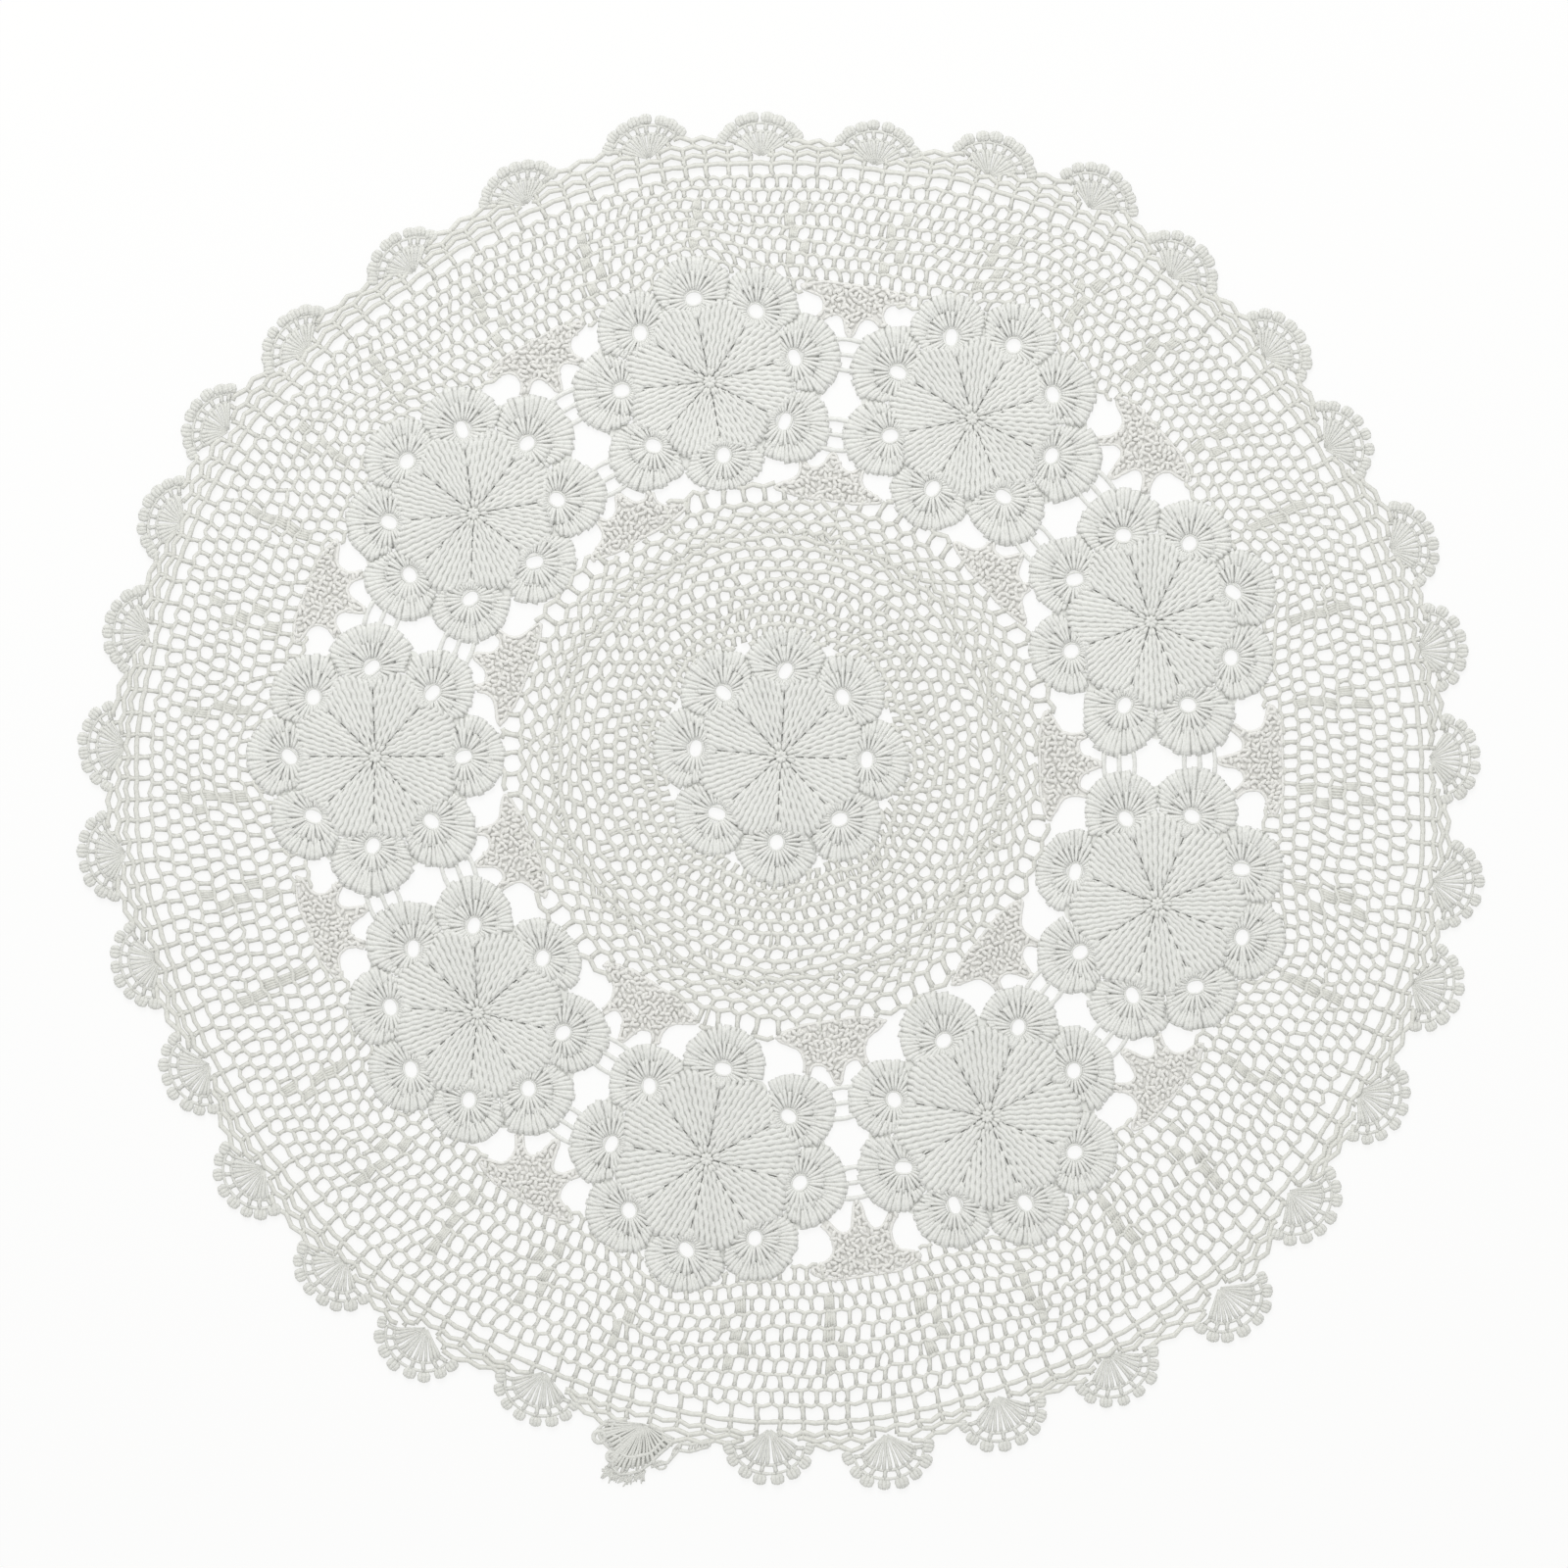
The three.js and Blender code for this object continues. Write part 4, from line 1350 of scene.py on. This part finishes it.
@dataclass(frozen=True)
class CottonFinish:
    """Mercerised cotton yarn: plied, with painted shade in the groove where one chain stitch meets the next
    and along each strand's sides.
    """

    name: str
    light: tuple[float, float, float]
    shade: tuple[float, float, float]
    # A dark colour of painted shade, for grounds and shelves whose tint is above one.
    ground: tuple[float, float, float] = (0.36, 0.36, 0.34)
    stitch: float = 4.4
    ply: float = 1.5
    # How much shade is painted into the stitch grooves.
    groove_shade: float = 0.45
    # How much shade is painted along the strands' sides.
    edge: float = 0.5
    bump: float = 0.55
    relief: float = 0.4
    roughness: float = 0.78
    cloud_scale: float = 22.0
    fuzz_scale: float = 900.0

    def make(self) -> bpy.types.Material:
        """Makes the yarn's material."""
        material, desk = NodeDesk.of_material(self.name)
        mapped = desk.node("SeparateXYZ", {}, {0: desk.wire("UVMap", {"uv_map": "yarn"}, {})})
        along, around = Wire(desk, mapped.outputs[0]), Wire(desk, mapped.outputs[1])
        slant = abs(around * 2 - 1) * 0.8
        # stitch marks the groove where one chain stitch meets the next: it dips the bump and paints shade
        # into the groove.
        stitch = 1 - abs(((along * (1 / self.stitch) + slant) * np.pi).sine()) ** 0.3
        ply = ((along * (1 / self.ply) + around * 2) * (2 * np.pi)).sine()
        place = desk.wire("TexCoord", {}, {}, "Object")
        cloudy = desk.wire("TexNoise", {}, {"Vector": place, "Scale": self.cloud_scale, "Detail": 3.0})
        fuzz = desk.wire("TexNoise", {}, {"Vector": place, "Scale": self.fuzz_scale, "Detail": 2.0})
        tint = desk.wire("Attribute", {"attribute_name": "tint"}, {}, "Fac")
        # side is darkest at the sides of each strand's cross-section, where shade is painted.
        side = abs((around * (2 * np.pi)).sine()) ** 3
        # dark mixes the yarn's own random tone (cloudy, fuzz, the dice's tints) with painted shade in the
        # grooves and along the sides, and with fixed tints that paint shade on grounds and shelves and light
        # on spokes.
        dark = stitch * self.groove_shade + (cloudy - 0.5) * 0.5 + (fuzz - 0.5) * 0.35 + tint * 0.1
        dark = dark + side * self.edge + 0.06
        factor = desk.wire("Clamp", {}, {0: dark})
        colour = desk.blend(factor, (*self.light, 1), (*self.shade, 1))
        # Where the tint is above one the colour blends toward the dark ground colour: painted shade in deep
        # gaps.
        depth = desk.wire("Clamp", {}, {0: tint * 0.5 - 0.5})
        colour = desk.blend(depth, colour, (*self.ground, 1))
        height = ply * 0.2 + fuzz * 0.5 - stitch * 0.7
        bump = {"Height": height, "Strength": self.bump, "Distance": self.relief * MM}
        desk.surface(
            {
                "Normal": desk.wire("Bump", {}, bump),
                "Base Color": colour,
                "Roughness": self.roughness + fuzz * 0.15,
                "Specular IOR Level": 0.3,
                "Sheen Weight": 0.12,
                "Sheen Roughness": 0.5,
            }
        )
        return material


FINISHES = {
    # The flowers' yarn gets less painted shade along its sides.
    Part.FLOWER: CottonFinish(
        "white_cotton_flowers", (0.832, 0.838, 0.803), (0.684, 0.689, 0.659), edge=0.26
    ),
    Part.FILLER: CottonFinish("white_cotton_fillers", (0.848, 0.844, 0.808), (0.696, 0.691, 0.661)),
    Part.NET: CottonFinish("white_cotton_net", (0.781, 0.783, 0.732), (0.612, 0.613, 0.571)),
    Part.EDGING: CottonFinish("white_cotton_edging", (0.777, 0.781, 0.738), (0.612, 0.615, 0.58)),
}


@dataclass
class Studio:
    """A pale lit floor, soft light from above and one side, and a camera straight above the cloth.

    Its lengths are in metres, the lens in millimetres and the photograph in pixels.
    """

    hub: complex
    photo_hub: complex = 797 + 772j
    photo_size: float = 1600.0
    lens: float = 85.0
    sensor: float = 36.0
    floor_size: float = 60.0
    floor_drop: float = 0.0002
    floor_glow: float = 0.78
    floor_colour: tuple[float, float, float] = (0.2, 0.2, 0.199)
    glow_colour: tuple[float, float, float] = (1.0, 1.0, 0.995)
    sky: float = 0.78
    lamp_power: float = 45.0
    lamp_size: float = 2.2
    lamp_place: tuple[float, float, float] = (-0.4, 2.5, 2.2)
    focus_height: float = 0.002

    def build(self) -> None:
        """Sets up the floor, the light and the camera."""
        self._lay_floor()
        self._light()
        self._place_camera()

    def _lay_floor(self) -> None:
        """Lays a large pale floor that is lit from below, as a light table is."""
        form = bmesh.new()
        bmesh.ops.create_grid(form, x_segments=1, y_segments=1, size=self.floor_size / 2)
        mesh = bpy.data.meshes.new("floor")
        form.to_mesh(mesh)
        form.free()
        material, desk = NodeDesk.of_material("pale_floor")
        sockets = {"Base Color": (*self.floor_colour, 1), "Roughness": 0.9, "Specular IOR Level": 0.0}
        sockets |= {"Emission Color": (*self.glow_colour, 1), "Emission Strength": self.floor_glow}
        desk.surface(sockets)
        mesh.materials.append(material)
        floor = put("floor", mesh)
        floor.location.z = -self.floor_drop

    def _light(self) -> None:
        """Lights the cloth with an even sky and one large soft lamp beyond its far side."""
        world = bpy.data.worlds.new("studio")
        world.use_nodes = True
        desk = NodeDesk(world.node_tree)
        sky = desk.wire("Background", {}, {"Color": (1, 1, 1, 1), "Strength": self.sky})
        desk.node("OutputWorld", {}, {0: sky})
        bpy.context.scene.world = world
        lamp = bpy.data.lights.new("soft_lamp", "AREA")
        lamp.shape, lamp.size, lamp.energy = "DISK", self.lamp_size, self.lamp_power
        lamp_post = put("soft_lamp", lamp)
        lamp_post.location = self.lamp_place
        lamp_post.rotation_euler = (-Vector(self.lamp_place)).to_track_quat("-Z", "Y").to_euler()

    def _place_camera(self) -> None:
        """Places the camera so that the picture is as wide as the photograph."""
        lens = bpy.data.cameras.new("camera")
        lens.lens, lens.sensor_width = self.lens, self.sensor
        camera = put("camera", lens)
        off = self.photo_size / 2 * (1 + 1j) - self.photo_hub
        middle = (self.hub + PHOTO_PIXEL * off.conjugate()) * MM
        height = self.photo_size * PHOTO_PIXEL * MM * self.lens / self.sensor + self.focus_height
        camera.location = (middle.real, middle.imag, height)
        bpy.context.scene.camera = camera
        bpy.context.scene.view_settings.view_transform = "Standard"


def hub_of(node: str) -> complex:
    """Gives the middle of a node's box, in millimetres."""
    low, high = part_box(node)
    middle = (low + high) / (2 * MM)
    return complex(middle.x, middle.y)


def main() -> None:
    """Builds the studio and every piece of the cloth."""
    logging.basicConfig(level=logging.INFO, format="%(name)s: %(message)s")
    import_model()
    hub = hub_of("centre_flower")
    Studio(hub).build()
    cloth, edge = ClothPlan(), Edge()
    cotton = {part: finish.make() for part, finish in FINISHES.items()}
    centre = Flower(cloth.centre, FLOWER_SEED).build()
    pieces = [centre.piece("centre_lace", hub, cotton[Part.FLOWER], "centre_flower")]
    for index, plan in enumerate(cloth.ring, 1):
        flower = Flower(plan, FLOWER_SEED + index, cloth.joins[index - 1])
        name = f"ring_lace_{index}"
        pieces.append(flower.build().piece(name, hub, cotton[Part.FLOWER], f"ring_flower_{index}"))
    for index, join in enumerate(cloth.joins):
        beside = (cloth.ring[index], cloth.ring[(index + 1) % len(cloth.ring)])
        for side, outlines in (("outer", cloth.outer_fillers), ("inner", cloth.inner_fillers)):
            filler = Filler(outlines[index], join.outwards, beside, FILLER_SEED + index)
            name = f"{side}_knots_{index + 1}"
            pieces.append(filler.build().piece(name, hub, cotton[Part.FILLER], f"{side}_filler_{index + 1}"))
    pieces.append(InnerNet(cloth).build().piece("inner_mesh", hub, cotton[Part.NET], "inner_net"))
    edging = Edging(edge)
    pieces.append(edging.build().piece("fan_edging", hub, cotton[Part.EDGING], "outer_net"))
    net = OuterNet(cloth, edge).build()
    edging.work_loops(net)
    outer = net.piece("outer_mesh", hub, cotton[Part.NET], "outer_net")


if __name__ == "__main__":
    main()
